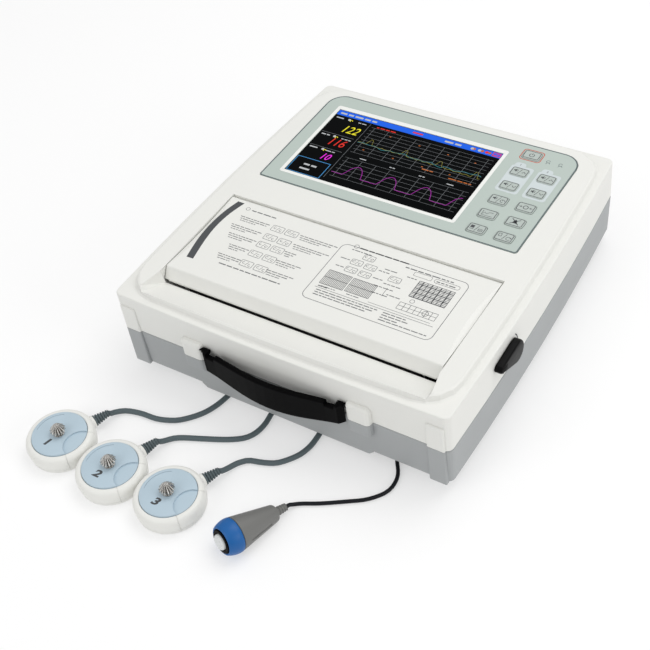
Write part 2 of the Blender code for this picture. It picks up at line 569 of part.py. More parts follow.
def prism_x(outline, low, high):
    """Outline in Y and Z, extruded along X."""
    return loft([[(x, y, z) for y, z in outline] for x in (low, high)])


def block(x0, x1, y0, y1, z0, z1, radius=0.0, steps=ROUND_STEPS):
    return prism(rectangle(x0, x1, y0, y1, radius, steps), z0, z1)


def turned(profile, place, axis=(0, 0, 1), segments=FINE):
    """Turned solid: (radius, height) profile along an axis through a place."""
    turn = Vector((0, 0, 1)).rotation_difference(Vector(axis)).to_matrix().to_4x4()
    matrix = Matrix.Translation(Vector(place)) @ turn
    mesh = bmesh.new()
    rows = []
    for radius, height in profile:
        if radius <= 0:
            rows.append([mesh.verts.new(matrix @ Vector((0, 0, height)))])
            continue
        ring = []
        for k in range(segments):
            angle = math.tau * k / segments
            ring.append(mesh.verts.new(matrix @ Vector((radius * math.cos(angle),
                                                        radius * math.sin(angle), height))))
        rows.append(ring)
    for low, high in zip(rows, rows[1:]):
        for i in range(segments):
            j = (i + 1) % segments
            if len(low) == 1:
                mesh.faces.new((low[0], high[j], high[i]))
            elif len(high) == 1:
                mesh.faces.new((low[i], low[j], high[0]))
            else:
                mesh.faces.new((low[i], low[j], high[j], high[i]))
    if len(rows[0]) > 1:
        mesh.faces.new(rows[0][::-1])
    if len(rows[-1]) > 1:
        mesh.faces.new(rows[-1])
    bmesh.ops.recalc_face_normals(mesh, faces=mesh.faces)
    return mesh


def rod(radius, start, end, segments=MIDDLE):
    """Plain cylinder between two points."""
    start, end = Vector(start), Vector(end)
    return turned([(radius, 0), (radius, (end - start).length)], start, end - start, segments)


def smooth_route(points, spacing):
    """Points at an even spacing on a smooth curve through the route's own points."""
    fine = []
    for i in range(len(points) - 1):
        before = points[i - 1] if i > 0 else points[0] * 2 - points[1]
        after = points[i + 2] if i + 2 < len(points) else points[-1] * 2 - points[-2]
        p1, p2 = points[i], points[i + 1]
        for k in range(ROUTE_FINE):
            t = k / ROUTE_FINE
            blend = (2 * p1 + (p2 - before) * t + (2 * before - 5 * p1 + 4 * p2 - after) * t * t
                     + (3 * p1 - before - 3 * p2 + after) * t ** 3)
            fine.append(blend / 2)
    fine.append(points[-1])
    lengths = [0.0]
    for a, b in zip(fine, fine[1:]):
        lengths.append(lengths[-1] + (b - a).length)
    count = max(2, round(lengths[-1] / spacing))
    even, k = [], 0
    for i in range(count + 1):
        target = lengths[-1] * i / count
        while k < len(fine) - 2 and lengths[k + 1] < target:
            k += 1
        share = (target - lengths[k]) / (lengths[k + 1] - lengths[k])
        even.append(fine[k].lerp(fine[k + 1], share))
    return even


def tube(name, points, radii, diameter, mat):
    """Round tube with filled caps along a poly line."""
    curve = bpy.data.curves.new(name, "CURVE")
    curve.dimensions = "3D"
    curve.bevel_depth = diameter / 2
    curve.bevel_resolution = 2
    curve.use_fill_caps = True
    spline = curve.splines.new("POLY")
    spline.points.add(len(points) - 1)
    for point, place, radius in zip(spline.points, points, radii):
        point.co = (*place, 1)
        point.radius = radius
    curve.materials.append(mat)
    obj = bpy.data.objects.new(name, curve)
    obj.parent = UNIT
    bpy.context.scene.collection.objects.link(obj)
    return obj


def side_x(y):
    return BODY_HALF - (y - WIDEST_Y) ** 2 / (2 * SIDE_RADIUS)


def body_ring(z, inset=0.0, corner=BODY_CORNER, bulge=0.0):
    """Plan outline of the body at one height: bowed front, curved sides, round corners."""
    front, rear = inset, BODY_DEPTH - inset
    front_x = side_x(front + corner) - inset - corner
    rear_x = side_x(rear - corner) - inset - corner
    right = []
    for k in range(1, CORNER_STEPS):
        angle = math.pi / 2 * k / CORNER_STEPS
        right.append((front_x + corner * math.sin(angle), front + corner - corner * math.cos(angle)))
    for k in range(SIDE_STEPS + 1):
        y = front + corner + (rear - front - 2 * corner) * k / SIDE_STEPS
        right.append((side_x(y) - inset, y))
    for k in range(1, CORNER_STEPS):
        angle = math.pi / 2 * k / CORNER_STEPS
        right.append((rear_x + corner * math.cos(angle), rear - corner + corner * math.sin(angle)))
    right.append((rear_x, rear))
    points = []
    for k in range(FRONT_STEPS + 1):
        share = 2 * k / FRONT_STEPS - 1
        points.append((front_x * share, front - bulge * (1 - share * share)))
    points += right
    points += [(-x, y) for x, y in reversed(right)]
    return [(x, y, z) for x, y in points]


def soft_block(x0, x1, y0, y1, z0, z1, radius, upward):
    """Box on the front wall with its outer edges rounded, apart from those at the seam."""
    mesh = block(x0, x1, y0, y1, z0, z1)
    seam_z = z0 if upward else z1
    edges = []
    for edge in mesh.edges:
        a, b = edge.verts[0].co, edge.verts[1].co
        inside = abs(a.y - y1) < GAP and abs(b.y - y1) < GAP
        at_seam = abs(a.z - seam_z) < GAP and abs(b.z - seam_z) < GAP
        if not inside and not at_seam:
            edges.append(edge)
    bmesh.ops.bevel(mesh, geom=edges, offset=radius, segments=3, profile=0.5, affect="EDGES")
    return mesh


def front_blocks(upward):
    """Corner blocks and handle lugs of one half of the housing."""
    meshes = []
    for side in (-1, 1):
        if upward:
            z_block, z_lug = (SEAM_TOP, BLOCK_TOP_Z), (SEAM_TOP, LUG_HIGH_Z)
        else:
            z_block, z_lug = (BOTTOM_Z, SEAM_UNDER), (LUG_LOW_Z, SEAM_UNDER)
        xs = sorted((side * BLOCK_INNER, side * BLOCK_OUTER))
        meshes.append(soft_block(*xs, -BLOCK_PROUD, SPLIT_REACH, *z_block, BLOCK_ROUND, upward))
        xs = sorted((side * LUG_INNER, side * LUG_OUTER))
        meshes.append(soft_block(*xs, -LUG_PROUD, SPLIT_REACH, *z_lug, LUG_ROUND, upward))
    return join(meshes)


def boss_places():
    return [(side * x, y) for side in (-1, 1)
            for x, y in ((BOSS_FRONT_X, BOSS_FRONT_Y), (BOSS_REAR_X, BOSS_REAR_Y))]


def panel_outline(grow):
    """Plan outline of the panel, its rear corners large and its front corners small."""
    x0, x1 = PANEL_LEFT - grow, PANEL_RIGHT + grow
    y0, y1 = PANEL_FRONT - grow, PANEL_REAR + grow
    large = PANEL_ROUND + min(grow, 0)
    return rounded([(x0, y0, PANEL_FRONT_ROUND), (x1, y0, PANEL_FRONT_ROUND),
                    (x1, y1, large), (x0, y1, large)])


def cover_cavity():
    """Hollow of the upper shell, less the blocks that stay round the printer and the panel."""
    inner = BODY_CORNER / 2
    rings = [body_ring(SEAM_Z - CUT, WALL, inner), body_ring(RIM_Z - STRIP_FLOOR, WALL, inner),
             body_ring(RIM_Z - STRIP_FLOOR, DECK_SHOULDER, DECK_CORNER),
             body_ring(CEILING_Z, DECK_SHOULDER + STEP_RUN, DECK_CORNER)]
    cavity = new_object("cover_cavity", loft(rings))
    cavity.hide_render = True
    cavity.display_type = "WIRE"
    top = DECK_Z + CUT
    tray = block(-TRAY_HALF - TRAY_WALL, TRAY_HALF + TRAY_WALL, TRAY_FRONT_Y - TRAY_WALL,
                 TRAY_REAR_Y + TRAY_WALL, TRAY_FLOOR_Z - TRAY_FLOOR_WALL, top)
    trough = block(-TROUGH_HALF - WALL, TROUGH_HALF + WALL, TRAY_FRONT_Y - WALL,
                   TROUGH_REAR_Y + TRAY_FLOOR_WALL, TROUGH_FLOOR_Z - TRAY_FLOOR_WALL, TRAY_FLOOR_Z)
    well = block(-WELL_HALF - TRAY_FLOOR_WALL, WELL_HALF + TRAY_FLOOR_WALL,
                 WELL_FRONT_Y - TRAY_FLOOR_WALL, WELL_REAR_Y + TRAY_FLOOR_WALL,
                 WELL_FLOOR_Z - TRAY_FLOOR_WALL, TRAY_FLOOR_Z)
    slope = (SHELF_CREASE_Z - SHELF_LOW_Z) / (TRAY_FRONT_Y - SHELF_CREASE_Y)
    low = SHELF_LOW_Z - DECK_WALL
    shelf = prism_x([(0, low + slope * TRAY_FRONT_Y), (TRAY_FRONT_Y, low), (TRAY_FRONT_Y, top),
                     (0, top)], -SHELF_TOP_HALF - WALL, SHELF_TOP_HALF + WALL)
    frame = prism(panel_outline(WALL), CEILING_Z - PANEL_FRAME, top)
    bearing = block(LATCH_BOSS_X, LATCH_BOSS_X + LATCH_BOSS_WIDTH, LATCH_Y - LATCH_BOSS_HALF,
                    LATCH_Y + LATCH_BOSS_HALF, LATCH_Z - LATCH_BOSS_HALF, TRAY_FLOOR_Z)
    for mesh in (tray, trough, well, shelf, frame, bearing):
        boolean(cavity, mesh)
    return cavity


def shelf_wedge():
    """Sloping paper shelf in front of the door, with its flared side facets."""
    mesh = bmesh.new()
    top = DECK_Z + CUT
    for side in (-1, 1):
        for x, y, z in ((SHELF_TOP_HALF, SHELF_TOP_Y, top), (TRAY_HALF, RIDGE_Y, top),
                        (SHELF_LOW_HALF, TRAY_FRONT_Y + GAP, SHELF_LOW_Z),
                        (SHELF_CREASE_HALF, SHELF_CREASE_Y, SHELF_CREASE_Z)):
            mesh.verts.new((side * x, y, z))
    bmesh.ops.convex_hull(mesh, input=mesh.verts)
    return mesh


def cover_openings():
    """Cuts of the printer tray, its trough and well, the panel's seat and the latch."""
    top = DECK_Z + CUT
    tray = block(-TRAY_HALF, TRAY_HALF, TRAY_FRONT_Y, TRAY_REAR_Y, TRAY_FLOOR_Z, top)
    trough = block(-TROUGH_HALF, TROUGH_HALF, TRAY_FRONT_Y, TROUGH_REAR_Y, TROUGH_FLOOR_Z,
                   TRAY_FLOOR_Z + CUT)
    well = block(-WELL_HALF, WELL_HALF, WELL_FRONT_Y, WELL_REAR_Y, WELL_FLOOR_Z, TRAY_FLOOR_Z + CUT)
    seat = prism(panel_outline(PANEL_GAP), PANEL_LOW_Z - GAP, top)
    window = prism(panel_outline(-PANEL_LEDGE), CEILING_Z - PANEL_FRAME - CUT, top)
    slot = block(HOOK_X - GAP, HOOK_X + HOOK_THICK + GAP, HOOK_SLOT_FRONT, HOOK_SLOT_REAR,
                 TRAY_FLOOR_Z - TRAY_FLOOR_WALL - CUT, TRAY_FLOOR_Z + CUT)
    return (tray, trough, well, shelf_wedge(), seat, window, slot)


def cover_holes():
    """Round holes: door stubs, latch shaft, motor shaft, handle pins and screws."""
    holes = []
    bore = STUB_RADIUS + GAP
    outer = TRAY_HALF + TRAY_WALL + CUT
    for side in (-1, 1):
        holes.append(rod(bore, (side * (TRAY_HALF - CUT), HINGE_Y, HINGE_Z),
                         (side * outer, HINGE_Y, HINGE_Z)))
        holes.append(rod(PIN_BORE, (side * (LUG_INNER - CUT), HANDLE_AXIS_Y, HANDLE_AXIS_Z),
                         (side * (EAR_END - KNUCKLE_LENGTH + PIN_LENGTH + GAP), HANDLE_AXIS_Y,
                          HANDLE_AXIS_Z)))
    holes.append(rod(LATCH_SHAFT + GAP, (LATCH_BOSS_X - CUT, LATCH_Y, LATCH_Z),
                     (LATCH_FACE, LATCH_Y, LATCH_Z)))
    holes.append(rod(MOTOR_SHAFT + GAP, (TROUGH_HALF - CUT, ROLLER_Y, PINION_Z),
                     (TROUGH_HALF + WALL + CUT, ROLLER_Y, PINION_Z)))
    for x, y in boss_places():
        holes.append(rod(SCREW_RADIUS + GAP, (x, y, SEAM_Z - CUT),
                         (x, y, SCREW_SEAT_Z + SCREW_LENGTH + GAP)))
    return join(holes)


def make_top_cover():
    rings = [body_ring(SEAM_TOP, SEAM_CHAMFER), body_ring(SEAM_TOP + SEAM_CHAMFER),
             body_ring(RIM_Z - RIM_ROUND, bulge=FRONT_BULGE),
             body_ring(RIM_Z - RIM_ROUND * 0.3, RIM_ROUND * 0.3, bulge=FRONT_BULGE),
             body_ring(RIM_Z, RIM_ROUND, bulge=FRONT_BULGE)]
    for run, rise in STEP_SHARES:
        rings.append(body_ring(RIM_Z + rise * RIM_DROP, STRIP + run * STEP_RUN, DECK_CORNER,
                               FRONT_BULGE))
    cover = new_object("top_cover", loft(rings), white())
    mod = cover.modifiers.new("cavity", "BOOLEAN")
    mod.operation = "DIFFERENCE"
    mod.solver = "EXACT"
    mod.object = cover_cavity()
    bosses = [rod(BOSS_RADIUS, (x, y, SEAM_TOP), (x, y, RIM_Z - STRIP_FLOOR / 2), COARSE)
              for x, y in boss_places()]
    boolean(cover, join(bosses), "UNION")
    boolean(cover, front_blocks(True), "UNION")
    for mesh in cover_openings():
        boolean(cover, mesh)
    boolean(cover, cover_holes())
    return cover


def base_cavity():
    inner = BODY_CORNER / 2
    rings = [body_ring(INNER_FLOOR_Z, WALL + BOTTOM_INSET, inner),
             body_ring(SEAM_Z + CUT, WALL, inner)]
    cavity = new_object("base_cavity", loft(rings))
    cavity.hide_render = True
    cavity.display_type = "WIRE"
    bay = block(BAY_LEFT - BAY_WALL, BAY_RIGHT + BAY_WALL, 0, BAY_REAR + BAY_WALL, 0,
                BAY_TOP_Z + BAY_WALL)
    boolean(cavity, bay)
    return cavity


def main_board_posts():
    return [(x, y) for x in (MAIN_LEFT + MAIN_BOSS_INSET, MAIN_RIGHT - MAIN_BOSS_INSET)
            for y in (MAIN_FRONT + MAIN_BOSS_INSET, MAIN_REAR - MAIN_BOSS_INSET)]


def foot_places():
    return [(side * FOOT_X, y) for side in (-1, 1) for y in (FOOT_FRONT_Y, FOOT_REAR_Y)]


def base_columns():
    """Screw columns and board posts on the floor."""
    middle = BOTTOM_Z + FLOOR_WALL / 2
    columns = [rod(BOSS_RADIUS, (x, y, middle), (x, y, SEAM_UNDER), COARSE) for x, y in boss_places()]
    columns += [rod(MAIN_BOSS, (x, y, middle), (x, y, MAIN_Z - GAP), COARSE)
                for x, y in main_board_posts()]
    return join(columns)


def base_holes():
    """Screw counterbores, foot holes, speaker slots and the sockets' holes."""
    low = BOTTOM_Z - CUT
    cuts = []
    for x, y in boss_places():
        cuts.append(turned([(0, low), (SCREW_HEAD + GAP, low), (SCREW_HEAD + GAP, SCREW_SEAT_Z + GAP),
                            (SCREW_RADIUS + GAP, SCREW_SEAT_Z + GAP),
                            (SCREW_RADIUS + GAP, SEAM_Z + CUT), (0, SEAM_Z + CUT)],
                           (x, y, 0), segments=COARSE))
    for x, y in foot_places():
        cuts.append(rod(FOOT_SPIGOT + GAP, (x, y, low), (x, y, INNER_FLOOR_Z + CUT), COARSE))
    for k in range(SPEAKER_SLOTS):
        y = SPEAKER_Y + (k - (SPEAKER_SLOTS - 1) / 2) * SPEAKER_PITCH
        cuts.append(block(SPEAKER_X - SPEAKER_SLOT_HALF, SPEAKER_X + SPEAKER_SLOT_HALF,
                          y - SPEAKER_SLOT / 2, y + SPEAKER_SLOT / 2, low, INNER_FLOOR_Z + CUT))
    for x, share in sockets():
        radius = SOCKET_RADIUS * share + GAP
        cuts.append(rod(radius, (x, BAY_REAR - CUT, SOCKET_Z),
                        (x, BAY_REAR + BAY_WALL + CUT, SOCKET_Z), MIDDLE))
    return join(cuts)


def make_base_housing():
    rings = [body_ring(BOTTOM_Z, BOTTOM_INSET + BOTTOM_ROUND),
             body_ring(BOTTOM_Z + BOTTOM_ROUND * 0.3, BOTTOM_INSET + BOTTOM_ROUND * 0.3),
             body_ring(BOTTOM_Z + BOTTOM_ROUND, BOTTOM_INSET),
             body_ring(SEAM_UNDER - SEAM_CHAMFER), body_ring(SEAM_UNDER, SEAM_CHAMFER)]
    base = new_object("base_housing", loft(rings), pale_grey())
    mod = base.modifiers.new("cavity", "BOOLEAN")
    mod.operation = "DIFFERENCE"
    mod.solver = "EXACT"
    mod.object = base_cavity()
    boolean(base, base_columns(), "UNION")
    boolean(base, front_blocks(False), "UNION")
    skirt_top = BOTTOM_Z + BOTTOM_ROUND * 2
    skirt_low = BOTTOM_Z - SKIRT_DROP
    skirt = [(SKIRT_LEFT, skirt_top), (SKIRT_LEFT, BOTTOM_Z), (SKIRT_LEFT + SKIRT_SLANT, skirt_low),
             (SKIRT_RIGHT - SKIRT_SLANT, skirt_low), (SKIRT_RIGHT, BOTTOM_Z), (SKIRT_RIGHT, skirt_top)]
    boolean(base, prism_y(skirt, SKIRT_FRONT, BAY_FRONT), "UNION")
    boolean(base, block(BAY_LEFT, BAY_RIGHT, BAY_FRONT, BAY_REAR, BOTTOM_Z - CUT, BAY_TOP_Z, BAY_ROUND))
    seat = COVER_LEDGE
    boolean(base, block(BATTERY_LEFT - seat, BATTERY_RIGHT + seat, BATTERY_FRONT - seat,
                        BATTERY_REAR + seat, BOTTOM_Z - CUT, BOTTOM_Z + COVER_PLATE + GAP))
    boolean(base, block(BATTERY_LEFT - GAP, BATTERY_RIGHT + GAP, BATTERY_FRONT - GAP,
                        BATTERY_REAR + GAP, BOTTOM_Z, INNER_FLOOR_Z + CUT))
    boolean(base, block(INLET_X - INLET_HALF_WIDTH - GAP, INLET_X + INLET_HALF_WIDTH + GAP,
                        BODY_DEPTH - WALL * 2, BODY_DEPTH + CUT, INLET_Z - INLET_HALF_HEIGHT - GAP,
                        INLET_Z + INLET_HALF_HEIGHT + GAP))
    boolean(base, base_holes())
    return base


def prism_y(outline, low, high):
    """Outline in X and Z, extruded along Y."""
    return loft([[(x, y, z) for x, z in outline] for y in (low, high)])


def sockets():
    return [(x, 1.0) for x in PROBE_SOCKETS_X] + [(MARKER_SOCKET_X, MARKER_SHARE)]


def link_outline(a, a_radius, b, b_radius, steps=8):
    """Outline round two circles and the straight lines that join them."""
    step = Vector(b) - Vector(a)
    base = math.atan2(step.y, step.x)
    spread = math.acos((a_radius - b_radius) / step.length)
    points = []
    for centre, radius, start, sweep in ((b, b_radius, base - spread, 2 * spread),
                                         (a, a_radius, base + spread, math.tau - 2 * spread)):
        for k in range(steps + 1):
            angle = start + sweep * k / steps
            points.append((centre[0] + radius * math.cos(angle), centre[1] + radius * math.sin(angle)))
    return points


def handle_front(x):
    """Front face of the strap in plan."""
    share = min(1.0, abs(x) / NOTCH_OUTER)
    return EAR_FRONT - HANDLE_BOW * (1 - share * share) ** BOW_POWER


def handle_station(x):
    """Cross-section of the strap at one place along it."""
    thick = EAR_BACK - EAR_FRONT
    front = handle_front(x)
    back = front + thick
    past = abs(x) - (EAR_END - EAR_SLANT)
    if past > 0:
        front += (thick - GAP) * past / EAR_SLANT
    top = HANDLE_TOP_Z
    if NOTCH_INNER < abs(x) < NOTCH_OUTER:
        top -= NOTCH_DEPTH
    share = x / EAR_END
    low = HANDLE_LOW_Z - HANDLE_DIP * (1 - share * share)
    radius = min(STRAP_ROUND, (back - front) * 0.4)
    return [(x, y, z) for y, z in rectangle(front, back, low, top, radius, 2)]


def make_handle():
    edge = GAP / 2
    places = [EAR_END, EAR_END - EAR_SLANT, NOTCH_OUTER + edge, NOTCH_OUTER - edge,
              NOTCH_INNER + edge, NOTCH_INNER - edge]
    inner = [NOTCH_INNER * k / 6 for k in range(5, -1, -1)]
    xs = [-x for x in places + inner[:-1]] + inner[::-1] + places[::-1]
    pivot = (0, HANDLE_AXIS_Y, HANDLE_AXIS_Z)
    handle = new_object("carry_handle", loft([handle_station(x) for x in xs]), black(), pivot)
    for side in (-1, 1):
        inner_x, outer_x = side * (EAR_END - KNUCKLE_LENGTH), side * (EAR_END - GAP)
        knuckle = rod(KNUCKLE_RADIUS, (inner_x, *pivot[1:]), (outer_x, *pivot[1:]), MIDDLE)
        boolean(handle, knuckle, "UNION")
        trunnion = rod(PIN_RADIUS, ((inner_x + outer_x) / 2, *pivot[1:]),
                       (inner_x + side * PIN_LENGTH, *pivot[1:]), COARSE)
        boolean(handle, trunnion, "UNION")
        low = HANDLE_LOW_Z + BUFFER_HALF / 2
        xs = sorted((side * (EAR_END - BUFFER_HALF), side * (EAR_END - BUFFER_HALF * 3)))
        boolean(handle, block(*xs, EAR_BACK - STRAP_ROUND, -GAP, low, low + BUFFER_HALF), "UNION")


def door_facets():
    """Lens-shaped thumb facets along both sides of the door, each the face of a large cone."""
    radius = ((FACET_CHORD / 2) ** 2 + FACET_SAGITTA ** 2) / (2 * FACET_SAGITTA)
    slope = FACET_SAGITTA / FACET_DEPTH
    meshes = []
    for side in (-1, 1):
        centre = side * (DOOR_HALF - FACET_SAGITTA + radius)
        rings = []
        for z in (DECK_Z - FACET_DEPTH * 1.3, DECK_Z + FACET_DEPTH):
            reach = radius + (z - DECK_Z) * slope
            half = math.asin(min(1.0, FACET_CHORD * 0.56 / radius))
            ring = []
            for k in range(FACET_STEPS + 1):
                angle = half * (2 * k / FACET_STEPS - 1)
                ring.append((centre - side * reach * math.cos(angle),
                             FACET_CENTRE_Y + reach * math.sin(angle), z))
            outer = side * (DOOR_HALF + CUT * 2)
            ring.append((outer, ring[-1][1], z))
            ring.append((outer, ring[0][1], z))
            rings.append(ring)
        meshes.append(loft(rings))
    return join(meshes)


def make_door():
    slope = FASCIA_RUN / FASCIA_DROP
    lip = DOOR_WALL
    rear = HINGE_Y + HINGE_RADIUS
    outline = rounded([(FASCIA_LOW_Y, FASCIA_LOW_Z, GAP), (FASCIA_LOW_Y + lip, FASCIA_LOW_Z, 0),
                       (FASCIA_LOW_Y + lip + slope * lip, DOOR_LOW_Z, 0),
                       (rear, DOOR_LOW_Z, HINGE_RADIUS * 0.99), (rear, DECK_Z, HINGE_RADIUS * 0.99),
                       (RIDGE_Y, DECK_Z, RIDGE_CHAMFER)], 6)
    pivot = (0, HINGE_Y, HINGE_Z)
    door = new_object("printer_door", prism_x(outline, -DOOR_HALF, DOOR_HALF), white(), pivot)
    inner_y = FASCIA_LOW_Y + DOOR_WALL * math.hypot(1, slope)
    ceiling = DECK_Z - DOOR_WALL
    pocket = [(inner_y, TRAY_FLOOR_Z), (inner_y, FASCIA_LOW_Z),
              (inner_y + slope * (ceiling - FASCIA_LOW_Z), ceiling),
              (HINGE_Y - HINGE_RADIUS - DOOR_WALL, ceiling),
              (HINGE_Y - HINGE_RADIUS - DOOR_WALL, TRAY_FLOOR_Z)]
    boolean(door, prism_x(pocket, -DOOR_HALF + DOOR_WALL, DOOR_HALF - DOOR_WALL))
    extras, bores = [], []
    for side in (-1, 1):
        xs = sorted((side * BRACKET_X, side * (BRACKET_X + BRACKET_THICK)))
        arm = rounded([(ROLLER_Y - BRACKET_HALF, ROLLER_Z - BRACKET_HALF, BRACKET_HALF * 0.9),
                       (ROLLER_Y + BRACKET_HALF, ROLLER_Z - BRACKET_HALF, BRACKET_HALF * 0.9),
                       (ROLLER_Y + BRACKET_HALF, ceiling + DOOR_WALL / 2, 0),
                       (ROLLER_Y - BRACKET_HALF * 0.4, ceiling + DOOR_WALL / 2, 0),
                       (ROLLER_Y - BRACKET_HALF, FASCIA_LOW_Z, 0)])
        extras.append(prism_x(arm, *xs))
        wall_x = side * (DOOR_HALF - DOOR_WALL / 2)
        extras.append(rod(STUB_RADIUS, (wall_x, HINGE_Y, HINGE_Z),
                          (side * (DOOR_HALF + STUB_LENGTH), HINGE_Y, HINGE_Z), COARSE))
        bores.append(rod(SHAFT_RADIUS + GAP, (xs[0] - CUT, ROLLER_Y, ROLLER_Z),
                         (xs[1] + CUT, ROLLER_Y, ROLLER_Z), COARSE))
    inner_wall = DOOR_HALF - DOOR_WALL / 2
    extras.append(rod(STUD_RADIUS, (inner_wall, STUD_Y, STUD_Z), (inner_wall - STUD_LENGTH, STUD_Y,
                                                                    STUD_Z), COARSE))
    boolean(door, join(extras), "UNION")
    boolean(door, join(bores))
    boolean(door, door_facets())
    return door


def involute(angle):
    return math.tan(angle) - angle


def gear_outline(teeth, centre, phase):
    """Outline of an involute spur gear round a centre in Y and Z."""
    pitch = GEAR_MODULE * teeth / 2
    base = pitch * math.cos(PRESSURE_ANGLE)
    tip, root = pitch + GEAR_MODULE * 0.9, pitch - GEAR_MODULE * 1.2
    half_pitch = math.pi / (2 * teeth) - GEAR_BACKLASH / (4 * pitch)
    flank = [max(root, base), pitch, tip]

    def half_angle(radius):
        return half_pitch + involute(PRESSURE_ANGLE) - involute(math.acos(min(1.0, base / radius)))

    points = []
    for tooth in range(teeth):
        middle = phase + math.tau * tooth / teeth
        side = [(root, half_angle(flank[0]))] + [(r, half_angle(r)) for r in flank]
        if root >= base:
            side = side[1:]
        polar = [(r, middle - a) for r, a in side] + [(r, middle + a) for r, a in reversed(side)]
        points += [(centre[0] + r * math.cos(a), centre[1] + r * math.sin(a)) for r, a in polar]
    return points


def make_roller():
    """Rubber platen roller on its shaft, with the gear at its right-hand end."""
    far = BRACKET_X + BRACKET_THICK + GAP * 3
    gear_end = GEAR_X + GEAR_WIDTH
    profile = [(0, -far), (SHAFT_RADIUS, -far), (SHAFT_RADIUS, -ROLLER_HALF),
               (ROLLER_RADIUS, -ROLLER_HALF), (ROLLER_RADIUS, ROLLER_HALF),
               (SHAFT_RADIUS, ROLLER_HALF), (SHAFT_RADIUS, gear_end), (0, gear_end)]
    pivot = (0, ROLLER_Y, ROLLER_Z)
    new_object("platen_roller", turned(profile, pivot, (1, 0, 0), 28), rubber(), pivot)
    gear = prism_x(gear_outline(GEAR_TEETH, pivot[1:], 0.0), GEAR_X, gear_end)
    gear = new_object("platen_gear", gear, black(), pivot)
    boolean(gear, rod(SHAFT_RADIUS + GAP, (GEAR_X - CUT, *pivot[1:]), (gear_end + CUT, *pivot[1:]), 16))


def make_pinion():
    """Motor pinion and its shaft, meshed below the roller's gear."""
    place = (0, ROLLER_Y, PINION_Z)
    phase = math.pi / 2 + math.pi / PINION_TEETH
    pinion = prism_x(gear_outline(PINION_TEETH, place[1:], phase), GEAR_X, GEAR_X + GEAR_WIDTH)
    pinion = new_object("motor_pinion", pinion, steel(), place)
    end = MOTOR_X + MOTOR_BORE - GAP
    boolean(pinion, rod(MOTOR_SHAFT, (GEAR_X + GEAR_WIDTH / 2, *place[1:]), (end, *place[1:]), 16),
            "UNION")
    profile = [(0, MOTOR_BORE), (MOTOR_SHAFT + GAP, MOTOR_BORE), (MOTOR_SHAFT + GAP, 0),
               (MOTOR_RADIUS, 0), (MOTOR_RADIUS, MOTOR_LENGTH), (0, MOTOR_LENGTH)]
    new_object("stepper_motor", turned(profile, (MOTOR_X, *place[1:]), (1, 0, 0), 28), steel())


def make_head():
    """Thermal head on its springs under the roller."""
    low = HEAD_TOP_Z - HEAD_THICK
    outline = rounded([(HEAD_FRONT_Y, low, 0), (HEAD_REAR_Y, low, 0), (HEAD_REAR_Y, HEAD_TOP_Z, 0),
                       (HEAD_FRONT_Y, HEAD_TOP_Z, HEAD_THICK * 0.6)])
    new_object("thermal_head", prism_x(outline, -HEAD_HALF, HEAD_HALF), black())
    make_spring(low)


def make_spring(head_low):
    """Coil spring that presses the head up, its end turns laid close."""
    centre = Vector((0, (HEAD_FRONT_Y + HEAD_REAR_Y) / 2, TROUGH_FLOOR_Z + GAP + SPRING_WIRE / 2))
    height = head_low - TROUGH_FLOOR_Z - GAP * 2 - SPRING_WIRE
    close = SPRING_WIRE * SPRING_CLOSE_SHARE
    rings = []
    for k in range(SPRING_TURNS * SPRING_TURN_POINTS + 1):
        turn = k / SPRING_TURN_POINTS
        open_turns = min(max(turn - 1, 0), SPRING_TURNS - 2)
        closed_turns = turn - open_turns
        z = closed_turns * close + open_turns * (height - 2 * close) / (SPRING_TURNS - 2)
        out = Vector((math.cos(math.tau * turn), math.sin(math.tau * turn), 0))
        middle = centre + out * SPRING_RADIUS + Vector((0, 0, z))
        rings.append([middle + (out * math.cos(math.tau * i / SPRING_SIDES)
                                + Vector((0, 0, math.sin(math.tau * i / SPRING_SIDES))))
                      * SPRING_WIRE / 2 for i in range(SPRING_SIDES)])
    new_object("head_spring", loft(rings), steel())


def make_paper():
    """Folded chart paper, with the folds showing along its front and back."""
    y0, y1 = WELL_FRONT_Y + PAPER_MARGIN, WELL_REAR_Y - PAPER_MARGIN
    low = WELL_FLOOR_Z + GAP
    front, back = [], []
    for k in range(PAPER_FOLDS + 1):
        z = low + PAPER_HEIGHT * k / PAPER_FOLDS
        front.append((y0, z))
        back.append((y1, z))
        if k < PAPER_FOLDS:
            middle = z + PAPER_HEIGHT / PAPER_FOLDS / 2
            front.append((y0 + PAPER_FOLD_DEPTH, middle))
            back.append((y1 - PAPER_FOLD_DEPTH, middle))
    half = WELL_HALF - PAPER_MARGIN
    new_object("paper_pack", prism_x(back + front[::-1], -half, half), paper_white())


def make_latch():
    pivot = (0, LATCH_Y, LATCH_Z)
    rings = []
    for x, trim in ((LATCH_ROOT, 0), (LATCH_FACE - LATCH_GRIP_RIB * 2, 0),
                    (LATCH_FACE - LATCH_GRIP_RIB * 0.6, LATCH_GRIP_RIB * 0.6),
                    (LATCH_FACE, LATCH_GRIP_RIB * 2)):
        outline = link_outline((LATCH_Y, LATCH_Z), LATCH_HUB - trim, (LATCH_TIP_Y, LATCH_TIP_Z),
                               LATCH_TIP_ROUND - trim)
        rings.append([(x, y, z) for y, z in outline])
    lever = new_object("latch_lever", loft(rings), pale_grey(), pivot)
    boolean(lever, rod(LATCH_SHAFT, (LATCH_INNER, *pivot[1:]), (LATCH_ROOT + WALL, *pivot[1:])), "UNION")
    outline = link_outline((LATCH_Y, LATCH_Z), HOOK_HUB, (HOOK_REACH_Y, HOOK_REACH_Z), HOOK_ARM / 2)
    hook = new_object("latch_hook", prism_x(outline, HOOK_X, HOOK_X + HOOK_THICK), steel(), pivot)
    boolean(hook, rod(LATCH_SHAFT + GAP, (HOOK_X - CUT, *pivot[1:]),
                      (HOOK_X + HOOK_THICK + CUT, *pivot[1:])))


